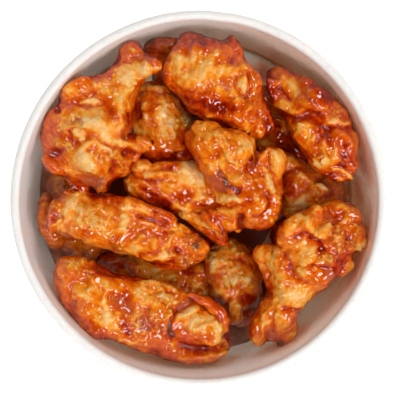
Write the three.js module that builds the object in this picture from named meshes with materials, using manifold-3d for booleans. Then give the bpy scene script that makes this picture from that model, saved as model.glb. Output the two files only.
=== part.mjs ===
// A serving of glazed chicken wings in a round white paper bowl.
// Millimetres, +Z up. The origin is on the bowl's axis, on the surface that the bowl stands on.
// Every wing lies loose in the heap, so each is a solid of its own, and nothing is jointed.
import * as THREE from "three";
import { mergeVertices } from "three/addons/utils/BufferGeometryUtils.js";
import Module from "manifold-3d";

const wasm = await Module();
wasm.setup();

// ---------------------------------------------------------------- driving sizes
const RIM_DIAMETER = 165; // over the rolled rim
const BOWL_HEIGHT = 66; // from the table to the top of the rolled rim
const FOOT_DIAMETER = 145; // outside of the wall where it stands
const FLOOR_HEIGHT = 6.5; // upper face of the base disc
const PAPER = 0.6; // one layer of coated paper board
const RIM_ROLL = 4.2; // diameter of the rolled rim
const GAP = 0.3; // clear space between neighbouring pieces
const BOWL_SIDES = 48;
const ROLL_STEPS = 7; // straight steps round the rim's roll
const ROLL_START = 225; // degrees: where the roll leaves the outside of the wall
const ROLL_END = 540; // degrees: where it is flush with the inside of the wall

const LOFT_SIDES = 12; // points round a wing
const LOFT_STATIONS = 10; // rings along a wing
const LUMP_SIDES = 8; // points round a knuckle, fold or flap
const LUMP_STATIONS = 5;
const END_ROUNDNESS = 6; // higher keeps a wing's girth closer to its ends
const SECTION_SQUARENESS = 2.3; // 2 is an ellipse
const UNEVENNESS = 0.035; // share of the girth that each wave of lumps and hollows takes
const WAVES = [
  { around: 3, along: 9, drift: 1 }, // crests round the wing, radians along it, share of its phase
  { around: 2, along: -14, drift: 2.3 },
];
const LEAST_REACH = 1; // no side of a wing is thinner than this about its axis
const MERGE_DISTANCE = 1e-4; // vertices closer than this are one

// ---------------------------------------------------------------- the bowl
const rimOuterRadius = RIM_DIAMETER / 2;
const rollRadius = RIM_ROLL / 2;
const wallTopRadius = rimOuterRadius - RIM_ROLL + PAPER; // outside of the wall under the roll
const footRadius = FOOT_DIAMETER / 2;
const rollCentre = { radius: rimOuterRadius - rollRadius, height: BOWL_HEIGHT - rollRadius };

// Outside radius of the cone-shaped wall at a height above the table.
const wallRadius = (height) =>
  footRadius + ((wallTopRadius - footRadius) * height) / rollCentre.height;

// Turns a profile of [radius, height] pairs about the bowl's axis. Anticlockwise profiles face out.
function turned(profile) {
  const points = profile.map(([radius, height]) => new THREE.Vector2(radius, height));
  points.push(points[0].clone());
  return new THREE.LatheGeometry(points, BOWL_SIDES).rotateX(Math.PI / 2);
}

// The wall: a cone of board whose top is rolled outwards into the rim, and whose foot is
// folded inwards and up round the base disc's skirt.
function bowlWall() {
  const foldInside = 3 * PAPER + 2 * GAP; // wall, skirt and fold lie side by side
  const foldTop = FLOOR_HEIGHT - PAPER - 2 * GAP;
  const profile = [[footRadius, 0]];
  profile.push([wallRadius(FLOOR_HEIGHT), FLOOR_HEIGHT]);
  for (let step = 0; step <= ROLL_STEPS; step += 1) {
    const turn = ROLL_START + (step / ROLL_STEPS) * (ROLL_END - ROLL_START);
    const angle = THREE.MathUtils.degToRad(turn);
    profile.push([
      rollCentre.radius + rollRadius * Math.cos(angle),
      rollCentre.height + rollRadius * Math.sin(angle),
    ]);
  }
  profile.push([wallRadius(FLOOR_HEIGHT) - PAPER, FLOOR_HEIGHT]);
  profile.push([wallRadius(PAPER) - PAPER, PAPER]);
  profile.push([footRadius + PAPER - foldInside, PAPER]);
  profile.push([wallRadius(foldTop) + PAPER - foldInside, foldTop]);
  profile.push([wallRadius(foldTop) - foldInside, foldTop]);
  profile.push([footRadius - foldInside, 0]);
  return turned(profile);
}

// The base: a disc of board with a skirt turned down between the wall and its fold.
function bowlBase() {
  const skirtBottom = PAPER + GAP;
  const clear = PAPER + GAP;
  const under = FLOOR_HEIGHT - PAPER;
  return turned([
    [0, under],
    [wallRadius(under) - clear - PAPER, under],
    [wallRadius(skirtBottom) - clear - PAPER, skirtBottom],
    [wallRadius(skirtBottom) - clear, skirtBottom],
    [wallRadius(FLOOR_HEIGHT) - clear, FLOOR_HEIGHT],
    [0, FLOOR_HEIGHT],
  ]);
}

// The room inside the bowl that a wing may fill, a gap clear of wall and floor.
function bowlRoom() {
  const inset = PAPER + GAP;
  const bottom = FLOOR_HEIGHT + GAP;
  return turned([
    [0, bottom],
    [wallRadius(bottom) - inset, bottom],
    [wallRadius(rollCentre.height) - inset, rollCentre.height],
    [wallRadius(rollCentre.height) - inset, 2 * BOWL_HEIGHT],
    [0, 2 * BOWL_HEIGHT],
  ]);
}

// ---------------------------------------------------------------- forms of a wing
const smooth = (before, from, to, after, t) => {
  const slopeIn = (to - before) / 2;
  const slopeOut = (after - from) / 2;
  const t2 = t * t;
  const t3 = t2 * t;
  return (
    (2 * t3 - 3 * t2 + 1) * from +
    (t3 - 2 * t2 + t) * slopeIn +
    (3 * t2 - 2 * t3) * to +
    (t3 - t2) * slopeOut
  );
};

// The reach of the skin [left, right, up, down] at a share of the wing's length, taken
// smoothly between the girths that the wing states.
function girthAt(girths, share) {
  let i = 0;
  while (i < girths.length - 2 && share > girths[i + 1][0]) i += 1;
  const [a, b] = [girths[i], girths[i + 1]];
  const before = girths[Math.max(i - 1, 0)];
  const after = girths[Math.min(i + 2, girths.length - 1)];
  const t = (share - a[0]) / (b[0] - a[0]);
  const reach = (k) => smooth(before[k], a[k], b[k], after[k], t);
  return [1, 2, 3, 4].map((k) => Math.max(LEAST_REACH, reach(k)));
}

// Ends a surface of rings in one point at each end, with its faces pointing out.
function skin(tail, rings, nose) {
  const sides = rings[0].length;
  const positions = [tail, ...rings.flat(), nose].flatMap((p) => [p.x, p.y, p.z]);
  const at = (ring, side) => 1 + ring * sides + (side % sides);
  const index = [];
  for (let side = 0; side < sides; side += 1) {
    index.push(0, at(0, side + 1), at(0, side));
    for (let ring = 0; ring < rings.length - 1; ring += 1) {
      const [a, b] = [at(ring, side), at(ring, side + 1)];
      const [c, d] = [at(ring + 1, side), at(ring + 1, side + 1)];
      index.push(a, b, d, a, d, c);
    }
    const last = rings.length - 1;
    index.push(at(last, side), at(last, side + 1), positions.length / 3 - 1);
  }
  const geometry = new THREE.BufferGeometry();
  geometry.setAttribute("position", new THREE.Float32BufferAttribute(positions, 3));
  geometry.setIndex(index);
  return geometry;
}

// A wing's body: rings square to the line from one end to the other, bowed upwards a little,
// each a squarish oval of the girth at its place, with uneven lumps from the wing's own phase.
function body(wing, grow) {
  const from = new THREE.Vector3(...wing.from);
  const to = new THREE.Vector3(...wing.to);
  const along = to.clone().sub(from);
  const length = along.length();
  along.normalize();
  const left = new THREE.Vector3(0, 0, 1).cross(along).normalize();
  const up = along.clone().cross(left);
  const roll = THREE.MathUtils.degToRad(wing.roll ?? 0);
  left.applyAxisAngle(along, roll);
  up.applyAxisAngle(along, roll);
  const phase = wing.phase ?? 0;

  const place = (share, across, lift) => {
    const bow = (wing.bow ?? 0) * (1 - (2 * share - 1) ** 2);
    return from
      .clone()
      .addScaledVector(along, share * (length + 2 * grow) - grow)
      .addScaledVector(left, across)
      .addScaledVector(up, lift + bow);
  };
  const rings = [];
  for (let i = 1; i <= LOFT_STATIONS; i += 1) {
    const share = 0.5 - 0.5 * Math.cos((Math.PI * i) / (LOFT_STATIONS + 1));
    const closing = Math.sqrt(1 - Math.abs(2 * share - 1) ** END_ROUNDNESS);
    const [toLeft, toRight, over, under] = girthAt(wing.girths, share);
    const ring = [];
    for (let side = 0; side < LOFT_SIDES; side += 1) {
      const angle = (2 * Math.PI * side) / LOFT_SIDES;
      const [c, s] = [Math.cos(angle), Math.sin(angle)];
      const crest = ({ around, along: pace, drift }) =>
        Math.sin(around * angle + pace * share + drift * phase);
      const lumps = WAVES.reduce((sum, wave) => sum + UNEVENNESS * crest(wave), 1);
      const squared = (v) => Math.sign(v) * Math.abs(v) ** (2 / SECTION_SQUARENESS);
      const across = squared(c) * ((c > 0 ? toLeft : toRight) * closing * lumps + grow);
      const lift = squared(s) * ((s > 0 ? over : under) * closing * lumps + grow);
      ring.push(place(share, across, lift));
    }
    rings.push(ring);
  }
  return skin(place(0, 0, 0), rings, place(1, 0, 0));
}

// A knuckle, fold or flap: an ellipsoid about a centre, with its reach along its heading,
// across it and up, its heading in plan and the pitch of its nose in degrees.
function lump({ at, reach, heading = 0, pitch = 0 }, grow) {
  const [along, across, high] = reach.map((r) => r + grow);
  return new THREE.SphereGeometry(1, LUMP_SIDES, LUMP_STATIONS)
    .rotateZ(Math.PI / 2)
    .scale(along, across, high)
    .rotateY(-THREE.MathUtils.degToRad(pitch))
    .rotateZ(THREE.MathUtils.degToRad(heading))
    .translate(...at);
}

// ---------------------------------------------------------------- the wings, lowest first
// girths: [share of the length, reach to the left, right, up, down] looking from `from` to `to`.
const WINGS = [
  {
    name: "flat_under_front_left",
    from: [-46, -29, 17],
    to: [9, -41, 18],
    phase: 0.4,
    girths: [[0, 6, 5, 7, 7], [0.3, 8.5, 8, 10, 10], [0.7, 8.5, 9, 10, 10], [1, 7, 8, 8, 8]],
    lumps: [{ at: [2, -35, 22], reach: [8, 6, 6], heading: -20 }],
  },
  {
    name: "drumette_under_left",
    from: [-62, 15, 20],
    to: [-50, -29, 18],
    phase: 1.7,
    girths: [[0, 9, 8, 8, 9], [0.3, 13, 10, 11, 11], [0.7, 13, 12, 11, 11], [1, 12, 8, 8, 8]],
    lumps: [{ at: [-62, -12, 26], reach: [12, 5, 8], heading: 75 }],
  },
  {
    name: "drumette_under_back",
    from: [-14, 69, 22],
    to: [0, 37, 18],
    phase: 3.1,
    girths: [[0, 9, 8, 11, 10], [0.3, 12, 11, 12, 11], [0.7, 12, 11, 11, 11], [1, 9, 8, 8, 8]],
    lumps: [{ at: [-18, 66, 28], reach: [7, 7, 7] }],
  },
  {
    name: "flat_under_back_right",
    from: [28, 50, 18],
    to: [44, 20, 19],
    phase: 0.9,
    girths: [[0, 8, 9, 9, 9], [0.4, 11, 11, 11, 11], [0.8, 10, 11, 11, 11], [1, 8, 9, 8, 8]],
    lumps: [{ at: [36, 32, 28], reach: [6, 7, 5] }, { at: [41, 22, 26], reach: [5, 6, 5] }],
  },
  {
    name: "flat_under_right",
    from: [35, -15, 18],
    to: [66, -27, 19],
    phase: 2.6,
    girths: [[0, 8, 8, 8, 8], [0.3, 11, 10, 11, 11], [0.8, 11, 10, 11, 11], [1, 9, 8, 8, 8]],
    lumps: [],
  },
  {
    name: "drumette_front",
    from: [21, -60, 18],
    to: [13, -18, 23],
    phase: 5.2,
    girths: [
      [0, 6, 6, 7, 8],
      [0.15, 7, 7, 8, 9],
      [0.3, 9, 12, 11, 11],
      [0.5, 12.5, 14, 14, 13],
      [0.7, 13.5, 13, 14, 13],
      [1, 9, 8, 8, 9],
    ],
    lumps: [
      { at: [17.5, -50, 26], reach: [9, 5, 6], heading: 82, pitch: 20 },
      { at: [23, -52, 20], reach: [8, 5, 7], heading: 80 },
    ],
  },
  {
    name: "flat_right",
    from: [34, 13, 27],
    to: [68, -2, 27],
    phase: 4.4,
    girths: [
      [0, 10, 5, 8, 9],
      [0.3, 10, 10, 11, 11],
      [0.6, 9, 11, 11, 11],
      [0.85, 9, 8, 10, 10],
      [1, 8, 5, 8, 8],
    ],
    lumps: [
      { at: [45, 8, 35], reach: [7, 6, 6], heading: 30 },
      { at: [53, 1, 35], reach: [6, 7, 6] },
      { at: [61, -1, 33], reach: [6, 6, 5] },
      { at: [40, 16, 32], reach: [5, 6, 6] },
    ],
  },
  {
    name: "drumette_inner_back",
    from: [-21, 53, 30],
    to: [-14, 13, 29],
    phase: 1.2,
    girths: [
      [0, 6, 9, 9, 10],
      [0.15, 10, 11, 11, 12],
      [0.35, 14, 13.5, 14, 14],
      [0.6, 16, 14, 15, 14],
      [0.85, 15, 12, 12, 12],
      [1, 12, 7, 8, 9],
    ],
    lumps: [
      { at: [-17, 44, 37], reach: [9, 7, 6], heading: -20 },
      { at: [-6, 20, 34], reach: [7, 8, 7] },
      { at: [-25, 30, 36], reach: [6, 11, 6] },
    ],
  },
  {
    name: "flat_centre_left",
    from: [-33, 7, 39],
    to: [15, -2, 40],
    phase: 2.2,
    girths: [
      [0, 7, 5, 6, 7],
      [0.15, 9.5, 6, 8, 8],
      [0.35, 13, 8, 10, 9],
      [0.6, 15, 8, 11, 10],
      [0.85, 15, 7, 10, 9],
      [1, 12, 6, 7, 7],
    ],
    lumps: [
      { at: [-17, -2, 37], reach: [16, 5, 6], heading: -14 },
      { at: [-10, 9, 44], reach: [14, 8, 7], heading: -4 },
    ],
  },
  {
    name: "flat_left",
    from: [-67, -5, 44],
    to: [4, -25, 38],
    phase: 0.2,
    bow: 1.5,
    girths: [
      [0, 11, 8, 8, 9],
      [0.15, 12, 9, 10, 10],
      [0.3, 14, 10, 11.5, 10],
      [0.5, 14.5, 9.5, 11.5, 10],
      [0.7, 13, 10, 11, 10],
      [0.85, 10, 9, 10, 9],
      [1, 8, 6, 8, 8],
    ],
    lumps: [
      { at: [-1, -20, 43], reach: [7, 6, 7], heading: -20 },
      { at: [-8, -28, 39], reach: [13, 4, 6], heading: 4 },
      { at: [-65, -8, 46], reach: [4, 9, 7], heading: -20 },
      { at: [-58, -13, 40], reach: [6, 5, 8], heading: -20 },
      { at: [-56, 6, 44], reach: [8, 4, 6], heading: -8 },
    ],
  },
  {
    name: "flat_front_left",
    from: [-64, -33, 49],
    to: [15, -67, 33],
    phase: 3.7,
    roll: -14,
    bow: 2,
    girths: [
      [0, 12, 9, 8, 9],
      [0.15, 12, 15, 11, 10],
      [0.3, 10, 20, 12, 11],
      [0.5, 14, 18.5, 12, 12],
      [0.7, 15, 16, 11, 12],
      [0.85, 12, 13, 11, 11],
      [1, 8, 9, 9, 9],
    ],
    lumps: [
      { at: [1.5, -58.5, 42], reach: [12, 9, 9], heading: -28 },
      { at: [-7, -68, 33], reach: [21, 6, 4], heading: -7, pitch: -6 },
      { at: [-55, -32, 51], reach: [9, 7, 8], heading: -10 },
      { at: [-22, -51, 50], reach: [9, 8, 6], heading: -25 },
    ],
  },
  {
    name: "drumette_back_right",
    from: [33, 58, 38],
    to: [68, 9, 48],
    phase: 4.9,
    girths: [
      [0, 7, 9, 8, 8],
      [0.15, 7, 8.5, 9, 9],
      [0.3, 9, 9.5, 10, 10],
      [0.5, 15, 11, 13, 13],
      [0.7, 14, 12, 14, 13],
      [0.85, 12, 11, 13, 12],
      [1, 9, 10, 10, 9],
    ],
    lumps: [
      { at: [65, 36, 50], reach: [6, 7, 7] },
      { at: [68, 25, 50], reach: [5, 6, 6] },
      { at: [69, 14, 50], reach: [4, 5, 5] },
      { at: [59, 12, 50], reach: [9, 5, 8], heading: -22 },
      { at: [48, 28, 50], reach: [7, 8, 7], heading: -40 },
      { at: [45, 47, 44], reach: [9, 4, 5], heading: -52, pitch: 12 },
      { at: [52, 43, 51], reach: [8, 6, 6], heading: 15 },
    ],
  },
  {
    name: "flat_back",
    from: [-11, 70, 49],
    to: [32, 29, 46],
    phase: 0.7,
    bow: 1,
    girths: [
      [0, 9, 14, 9, 9],
      [0.15, 12, 15, 11, 10],
      [0.3, 17, 17, 12, 11],
      [0.5, 16, 16, 12, 11],
      [0.7, 12, 11, 12, 11],
      [0.85, 9, 9, 11, 10],
      [1, 7, 8, 9, 9],
    ],
    lumps: [
      { at: [15, 64, 49], reach: [10, 5.5, 6], heading: 65 },
      { at: [27, 34, 48], reach: [9, 8, 9], heading: -50 },
      { at: [25, 52, 53], reach: [6, 6, 6] },
      { at: [23, 44, 53], reach: [7, 6, 5], heading: -60 },
      { at: [7, 38, 43], reach: [15, 6, 8], heading: -26 },
      { at: [-13, 56, 49], reach: [6, 8, 7] },
      { at: [-4, 71, 50], reach: [6, 5, 6] },
    ],
  },
  {
    name: "drumette_centre",
    from: [-6, 29, 51],
    to: [36, -11, 46],
    phase: 2.9,
    girths: [
      [0, 9, 4, 8, 9],
      [0.15, 12, 5, 10, 9],
      [0.3, 15, 7, 11, 10],
      [0.5, 16, 12, 12, 11],
      [0.7, 18, 13, 13, 12],
      [0.85, 14, 13, 12, 11],
      [1, 10, 11, 9, 9],
    ],
    lumps: [
      { at: [11.5, 23, 54], reach: [17, 9, 9], heading: -13 },
      { at: [34, 15, 52], reach: [9, 5, 7], heading: 80 },
      { at: [29, -8, 45], reach: [10, 8, 8], heading: 10 },
      { at: [1, -9.5, 42], reach: [18, 5, 4], heading: -42, pitch: -5 },
      { at: [16, -6, 48], reach: [8, 8, 7] },
      { at: [25, 5, 54], reach: [9, 6, 6], heading: -30 },
      { at: [14, -14, 42], reach: [9, 4, 4], heading: 30 },
    ],
  },
  {
    name: "drumette_front_right",
    from: [27, -63, 40],
    to: [67, -5, 48],
    phase: 5.7,
    girths: [
      [0, 8, 9, 9, 8],
      [0.15, 8, 10, 9, 9],
      [0.3, 9, 8.5, 10, 10],
      [0.5, 18, 12, 14, 13],
      [0.7, 19, 14, 15, 14],
      [0.85, 15, 13, 13, 13],
      [1, 12, 12, 10, 9],
    ],
    lumps: [
      { at: [28, -58, 40], reach: [9, 6, 8], heading: 65 },
      { at: [38.5, -59, 40], reach: [9, 6, 8], heading: 75 },
      { at: [41, -42, 47], reach: [9, 8, 8], heading: 50 },
      { at: [31, -26, 46], reach: [7, 5.5, 5], heading: 150 },
      { at: [45, -12, 55], reach: [13, 6, 7], heading: 35 },
      { at: [69, -17, 50], reach: [5, 6, 6] },
      { at: [64, -29, 50], reach: [6, 6, 6] },
      { at: [64, -7, 50], reach: [7, 6, 6] },
      { at: [53, -29, 52], reach: [13, 10, 9], heading: 30 },
      { at: [58, -16, 56], reach: [7, 7, 6] },
    ],
  },
  {
    name: "drumette_back_left",
    from: [-27, 68, 47],
    to: [-53, 6, 46],
    phase: 1.4,
    girths: [
      [0, 9, 8, 9, 9],
      [0.15, 9, 7, 9, 9],
      [0.3, 8, 14, 11, 11],
      [0.5, 12, 25, 14, 13],
      [0.7, 18, 29, 15, 14],
      [0.85, 16, 25, 13, 12],
      [1, 9, 15, 9, 9],
    ],
    lumps: [
      { at: [-30.5, 66, 48], reach: [7, 6, 7], heading: 60 },
      { at: [-22, 60, 51], reach: [9, 5, 6], heading: 15 },
      { at: [-55, 50, 54], reach: [9, 6, 6], heading: 20 },
      { at: [-46, 33, 55], reach: [16, 8, 8], heading: 15 },
      { at: [-26, 24, 50], reach: [10, 4, 3.5], heading: 12, pitch: 8 },
      { at: [-47, 18, 54], reach: [11, 9, 8], heading: -20 },
      { at: [-41, 9, 48], reach: [8, 7, 8], heading: -60 },
      { at: [-64, 15, 50], reach: [7, 6, 6], heading: -40 },
      { at: [-31, 16, 47], reach: [7, 7, 6] },
    ],
  },
];

// ---------------------------------------------------------------- solids and meshes
function solidOf(geometry) {
  const bare = new THREE.BufferGeometry();
  bare.setAttribute("position", geometry.getAttribute("position"));
  bare.setIndex(geometry.getIndex());
  const merged = mergeVertices(bare, MERGE_DISTANCE);
  return new wasm.Manifold(
    new wasm.Mesh({
      numProp: 3,
      vertProperties: merged.getAttribute("position").array,
      triVerts: new Uint32Array(merged.getIndex().array),
    }),
  );
}

function geometryOf(solid) {
  const mesh = solid.getMesh();
  const geometry = new THREE.BufferGeometry();
  geometry.setAttribute("position", new THREE.BufferAttribute(mesh.vertProperties, 3));
  geometry.setIndex(new THREE.BufferAttribute(mesh.triVerts, 1));
  geometry.computeVertexNormals();
  return geometry;
}

// A wing's whole form, or that form swollen by `grow` to press its mark into a neighbour.
const wingForm = (wing, grow = 0) =>
  wing.lumps.reduce((form, each) => form.add(solidOf(lump(each, grow))), solidOf(body(wing, grow)));

const wingMaterial = new THREE.MeshStandardMaterial({ color: 0xc8641e, roughness: 0.3 });
const paperMaterial = new THREE.MeshStandardMaterial({ color: 0xf4f1ec, roughness: 0.55 });

function named(name, geometry, material) {
  const mesh = new THREE.Mesh(geometry, material);
  mesh.name = name;
  return mesh;
}

const serving = new THREE.Group();
serving.add(named("bowl_wall", bowlWall(), paperMaterial));
serving.add(named("bowl_base", bowlBase(), paperMaterial));

// Each wing gives way to those that lie under it, as soft meat does.
const room = solidOf(bowlRoom());
WINGS.forEach((wing, order) => {
  const below = WINGS.slice(0, order).map((lower) => wingForm(lower, GAP));
  const pressed = below.reduce((form, lower) => form.subtract(lower), wingForm(wing));
  serving.add(named(wing.name, geometryOf(pressed.intersect(room)), wingMaterial));
});

export default serving;
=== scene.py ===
"""Glazed chicken wings heaped in a round white paper bowl, dressed over their plain solids."""
from collections import namedtuple

import bmesh
import bpy
import numpy as np
from bpy.props import FloatProperty, FloatVectorProperty, IntProperty, PointerProperty
from bpy.types import Operator, Panel, PropertyGroup
from mathutils import Matrix, Vector
from mathutils.bvhtree import BVHTree


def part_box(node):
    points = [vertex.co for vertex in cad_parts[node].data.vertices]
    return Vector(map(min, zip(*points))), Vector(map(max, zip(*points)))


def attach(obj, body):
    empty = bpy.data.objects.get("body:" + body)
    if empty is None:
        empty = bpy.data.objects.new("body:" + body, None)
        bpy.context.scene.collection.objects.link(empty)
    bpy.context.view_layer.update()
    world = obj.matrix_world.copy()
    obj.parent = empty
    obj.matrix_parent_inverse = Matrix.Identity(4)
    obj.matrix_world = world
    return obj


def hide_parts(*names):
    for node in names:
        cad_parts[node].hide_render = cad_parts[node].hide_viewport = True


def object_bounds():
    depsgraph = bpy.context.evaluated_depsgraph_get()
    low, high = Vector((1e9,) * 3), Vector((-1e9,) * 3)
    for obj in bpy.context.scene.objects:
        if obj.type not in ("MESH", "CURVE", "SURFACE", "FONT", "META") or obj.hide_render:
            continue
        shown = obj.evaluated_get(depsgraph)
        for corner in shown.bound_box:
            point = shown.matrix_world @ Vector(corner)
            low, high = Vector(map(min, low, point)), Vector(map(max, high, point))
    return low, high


bl_info = {
    "name": "Chicken Wings in a Bowl",
    "version": (1, 0, 0),
    "blender": (4, 5, 0),
    "location": "View3D > Sidebar > Wings",
    "description": "Makes a heap of glazed chicken wings in a paper bowl",
    "category": "Object",
}

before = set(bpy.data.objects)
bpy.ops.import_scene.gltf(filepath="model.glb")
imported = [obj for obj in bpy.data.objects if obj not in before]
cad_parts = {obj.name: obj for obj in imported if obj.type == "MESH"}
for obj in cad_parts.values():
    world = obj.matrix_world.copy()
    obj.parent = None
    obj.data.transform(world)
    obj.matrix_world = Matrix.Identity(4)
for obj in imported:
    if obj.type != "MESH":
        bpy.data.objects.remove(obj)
CAD_BOX = [list(corner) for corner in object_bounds()]
BODY = "root"
MM = 0.001

RIM_RADIUS = CAD_BOX[1][0]
RIM_TOP = CAD_BOX[1][2]
FLOOR_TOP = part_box("bowl_base")[1].z
WINGS = [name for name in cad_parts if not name.startswith("bowl")]

# The eye over the bowl, which the marks on the wings are placed for, and where the camera stands.
EYE = np.array([-33.0, 23.0, 922.0]) * MM
# The gap that sheets of board keep.
GAP = 0.3 * MM


# ---------------------------------------------------------------- sizes and colours
def colour(name, description, default):
    """A colour that a user may change."""
    return FloatVectorProperty(
        name=name, description=description, default=default, subtype="COLOR", size=3, min=0, max=1
    )


def length(name, description, default):
    """A length that a user may change."""
    return FloatProperty(name=name, description=description, default=default, unit="LENGTH")


def number(name, description, default):
    """A number without a unit that a user may change."""
    return FloatProperty(name=name, description=description, default=default)


class BowlSettings(PropertyGroup):
    """Sizes and colours of the paper bowl."""

    board: length("Board", "Thickness of the coated board", 0.6 * MM)
    roll: length("Roll", "Diameter of the rolled rim", 4.2 * MM)
    foot: length("Foot", "Outer radius of the wall's foot", 72.5 * MM)
    seam_angle: FloatProperty(
        name="Seam", description="Where the wall's side seam stands", default=1.414, unit="ROTATION"
    )
    paper: colour("Paper", "The coated board", (0.90, 0.895, 0.88))
    # Dark sauce pooled under the wings; the same colour paints the shade in the deep gaps and next to the
    # wings.
    sauce_and_shade: colour("Spill", "Sauce pooled under the wings", (0.10, 0.012, 0.002))
    # Grey board outside, darker than the paper inside: painted shade that offsets the strong light on the
    # outer wall.
    uncoated_and_shaded: colour("Outside", "Board outside, without a coat", (0.58, 0.57, 0.555))
    # Tint of board soaked with grease, which also paints the shade low on the wall, on its right and
    # round the wings.
    grease_and_shade: colour("Grease", "Board that grease has soaked", (0.68, 0.41, 0.30))
    oil: colour("Oil", "Oil that has run down to the wall's foot", (0.66, 0.30, 0.04))


class WingSettings(PropertyGroup):
    """Sizes and colours of the wings' skin and glaze."""

    grain: length("Grain", "Spacing of the skin's mesh", 0.55 * MM)
    smoothing: IntProperty(
        name="Smoothing", description="Passes that round off the solids' facets", default=44
    )
    filling: number("Filling", "How far valleys are filled", 0.7)
    fullness: length("Fullness", "Skin added where rounding shrank it", 0.1 * MM)
    depth: number("Depth", "How strongly the marks stand out", 1.25)
    lumps: length("Lumps", "Height of the soft lumps", 0.55 * MM)
    wrinkles: length("Wrinkles", "Height of the skin's wrinkles", 0.38 * MM)
    puckers: length("Puckers", "Height of the finest wrinkles", 0.13 * MM)
    crumbs: length("Crumbs", "Height of the fried crumbs", 0.8 * MM)
    wander: number("Wander", "How far marks stray, in mm", 0.9)
    patches: number("Patches", "Unevenness of the glaze", 0.16)
    streaks: number("Streaks", "Height of the skin's streaks, in mm", 0.07)
    crests: number("Crests", "How pale small crests are", 0.8)
    # Sauce gathered on steep sides, which also paints shade on the sides that face down
    side_sauce_and_shade: number("Pooling", "Sauce gathered on steep sides", 0.42)
    cream: colour("Cream skin", "The palest skin, on the crests", (0.90, 0.53, 0.20))
    pale: colour("Pale skin", "Thinly glazed skin", (0.90, 0.41, 0.075))
    gold: colour("Golden skin", "Glazed skin that lets light through", (0.90, 0.27, 0.012))
    orange: colour("Orange skin", "Glazed skin", (0.80, 0.15, 0.003))
    sauce: colour("Sauce", "Thick glaze", (0.60, 0.058, 0.001))
    dark: colour("Dark sauce", "Glaze that gathers in the folds", (0.36, 0.016, 0.0))
    deep: colour("Deepest sauce", "Glaze in the pits between pieces", (0.17, 0.005, 0.0))
    meat: colour("Meat", "Bare browned meat and bone", (0.50, 0.09, 0.026))
    char: colour("Char", "Burnt spots", (0.12, 0.032, 0.014))


class StageSettings(PropertyGroup):
    """The floor, the light and the camera."""

    floor: colour("Floor", "The pale surface below the bowl", (0.95, 0.95, 0.95))
    glow: number("Glow", "Light that the floor gives off", 0.68)
    camera: FloatVectorProperty(
        name="Camera",
        description="Where the camera stands",
        default=tuple(EYE),
        subtype="TRANSLATION",
        size=3,
    )
    lens: number("Lens", "Focal length in mm", 177.2)
    overhead: number("Overhead", "Power of the wide light above", 3.3)
    key: number("Key light", "Power of the soft light at the right", 3.5)
    spark: number("Sparks", "Power of the small lights", 1.9)
    low: number("Low light", "Power of the lights over the rim", 3.1)
    sky: number("Sky", "Strength of the light from all round", 0.225)


# ---------------------------------------------------------------- arrays and meshes
def positions_of(mesh):
    """The mesh's vertex positions, one row each."""
    flat = np.empty(len(mesh.vertices) * 3, np.float32)
    mesh.vertices.foreach_get("co", flat)
    return flat.reshape(-1, 3).astype(float)


def normals_of(mesh):
    """The mesh's vertex normals, one row each."""
    flat = np.empty(len(mesh.vertices) * 3, np.float32)
    mesh.vertex_normals.foreach_get("vector", flat)
    return flat.reshape(-1, 3).astype(float)


def set_positions(mesh, points):
    """Moves the mesh's vertices to the rows of points."""
    mesh.vertices.foreach_set("co", points.astype(np.float32).ravel())
    mesh.update()


def neighbour_mean(mesh):
    """A function that gives, for values at the vertices, the mean over each vertex's neighbours."""
    pairs = np.empty(len(mesh.edges) * 2, np.int32)
    mesh.edges.foreach_get("vertices", pairs)
    a, b = pairs.reshape(-1, 2).T
    here = np.concatenate([a, b])
    there = np.concatenate([b, a])
    count = np.bincount(here, minlength=len(mesh.vertices)).clip(1)

    def mean(values):
        """Values is one number or one row of numbers per vertex."""
        columns = values.reshape(len(values), -1).T
        sums = [np.bincount(here, column[there], len(values)) for column in columns]
        return (np.stack(sums, 1) / count[:, None]).reshape(values.shape)

    return mean


def smoothed(values, mean, passes):
    """Values after a number of half steps towards the neighbours' mean."""
    for _ in range(passes):
        values = 0.5 * (values + mean(values))
    return values


def set_attribute(mesh, name, values):
    """Stores one number per vertex for the materials to read."""
    layer = mesh.attributes.new(name, "FLOAT", "POINT")
    layer.data.foreach_set("value", values.astype(np.float32))


def ramp(values, low, high):
    """0 below low, 1 above high, and a smooth rise between."""
    t = np.clip((values - low) / (high - low), 0, 1)
    return t * t * (3 - 2 * t)


def bell(gap, width):
    """The bell curve exp(-(gap / width)^2)."""
    return np.exp(-((gap / width) ** 2))


# Noise: how far its lattice is shifted, in cells, how many random slopes there are, a power of 2,
# the factors that scatter the lattice's corners over them, and what brings it to -1 to 1 or so.
LATTICE_SHIFT = 37.0
SLOPES = 4096
SCATTER = (73856093, 19349663, 83492791)
NOISE_GAIN = 1.6


def noise(points, cell, seed):
    """Smooth noise from about -1 to 1: each corner of a lattice of cubes `cell` wide has a random
    slope, and a point blends the eight rises from the corners round it by the quintic fade
    6t^5 - 15t^4 + 10t^3."""
    slopes = np.random.default_rng(seed).normal(size=(SLOPES, 3))
    slopes /= np.linalg.norm(slopes, axis=1)[:, None]
    scaled = points / cell + LATTICE_SHIFT
    base = np.floor(scaled)
    part = scaled - base
    fade = part**3 * (part * (part * 6 - 15) + 10)
    base = base.astype(np.int64)
    total = np.zeros(len(points))
    for corner in np.ndindex(2, 2, 2):
        step = np.array(corner)
        index = np.bitwise_xor.reduce((base + step) * SCATTER, axis=1) & (SLOPES - 1)
        rise = ((part - step) * slopes[index]).sum(1)
        total += rise * np.prod(np.where(step == 1, fade, 1 - fade), axis=1)
    return total * NOISE_GAIN


def new_piece(name, mesh, material, replaced):
    """A piece of the scene that rides on the serving and stands for solids of the same form."""
    piece = bpy.data.objects.new(name, mesh)
    bpy.context.scene.collection.objects.link(piece)
    mesh.materials.clear()
    mesh.materials.append(material)
    mesh.polygons.foreach_set("use_smooth", np.ones(len(mesh.polygons), bool))
    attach(piece, BODY)
    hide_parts(*replaced)
    return piece


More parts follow.
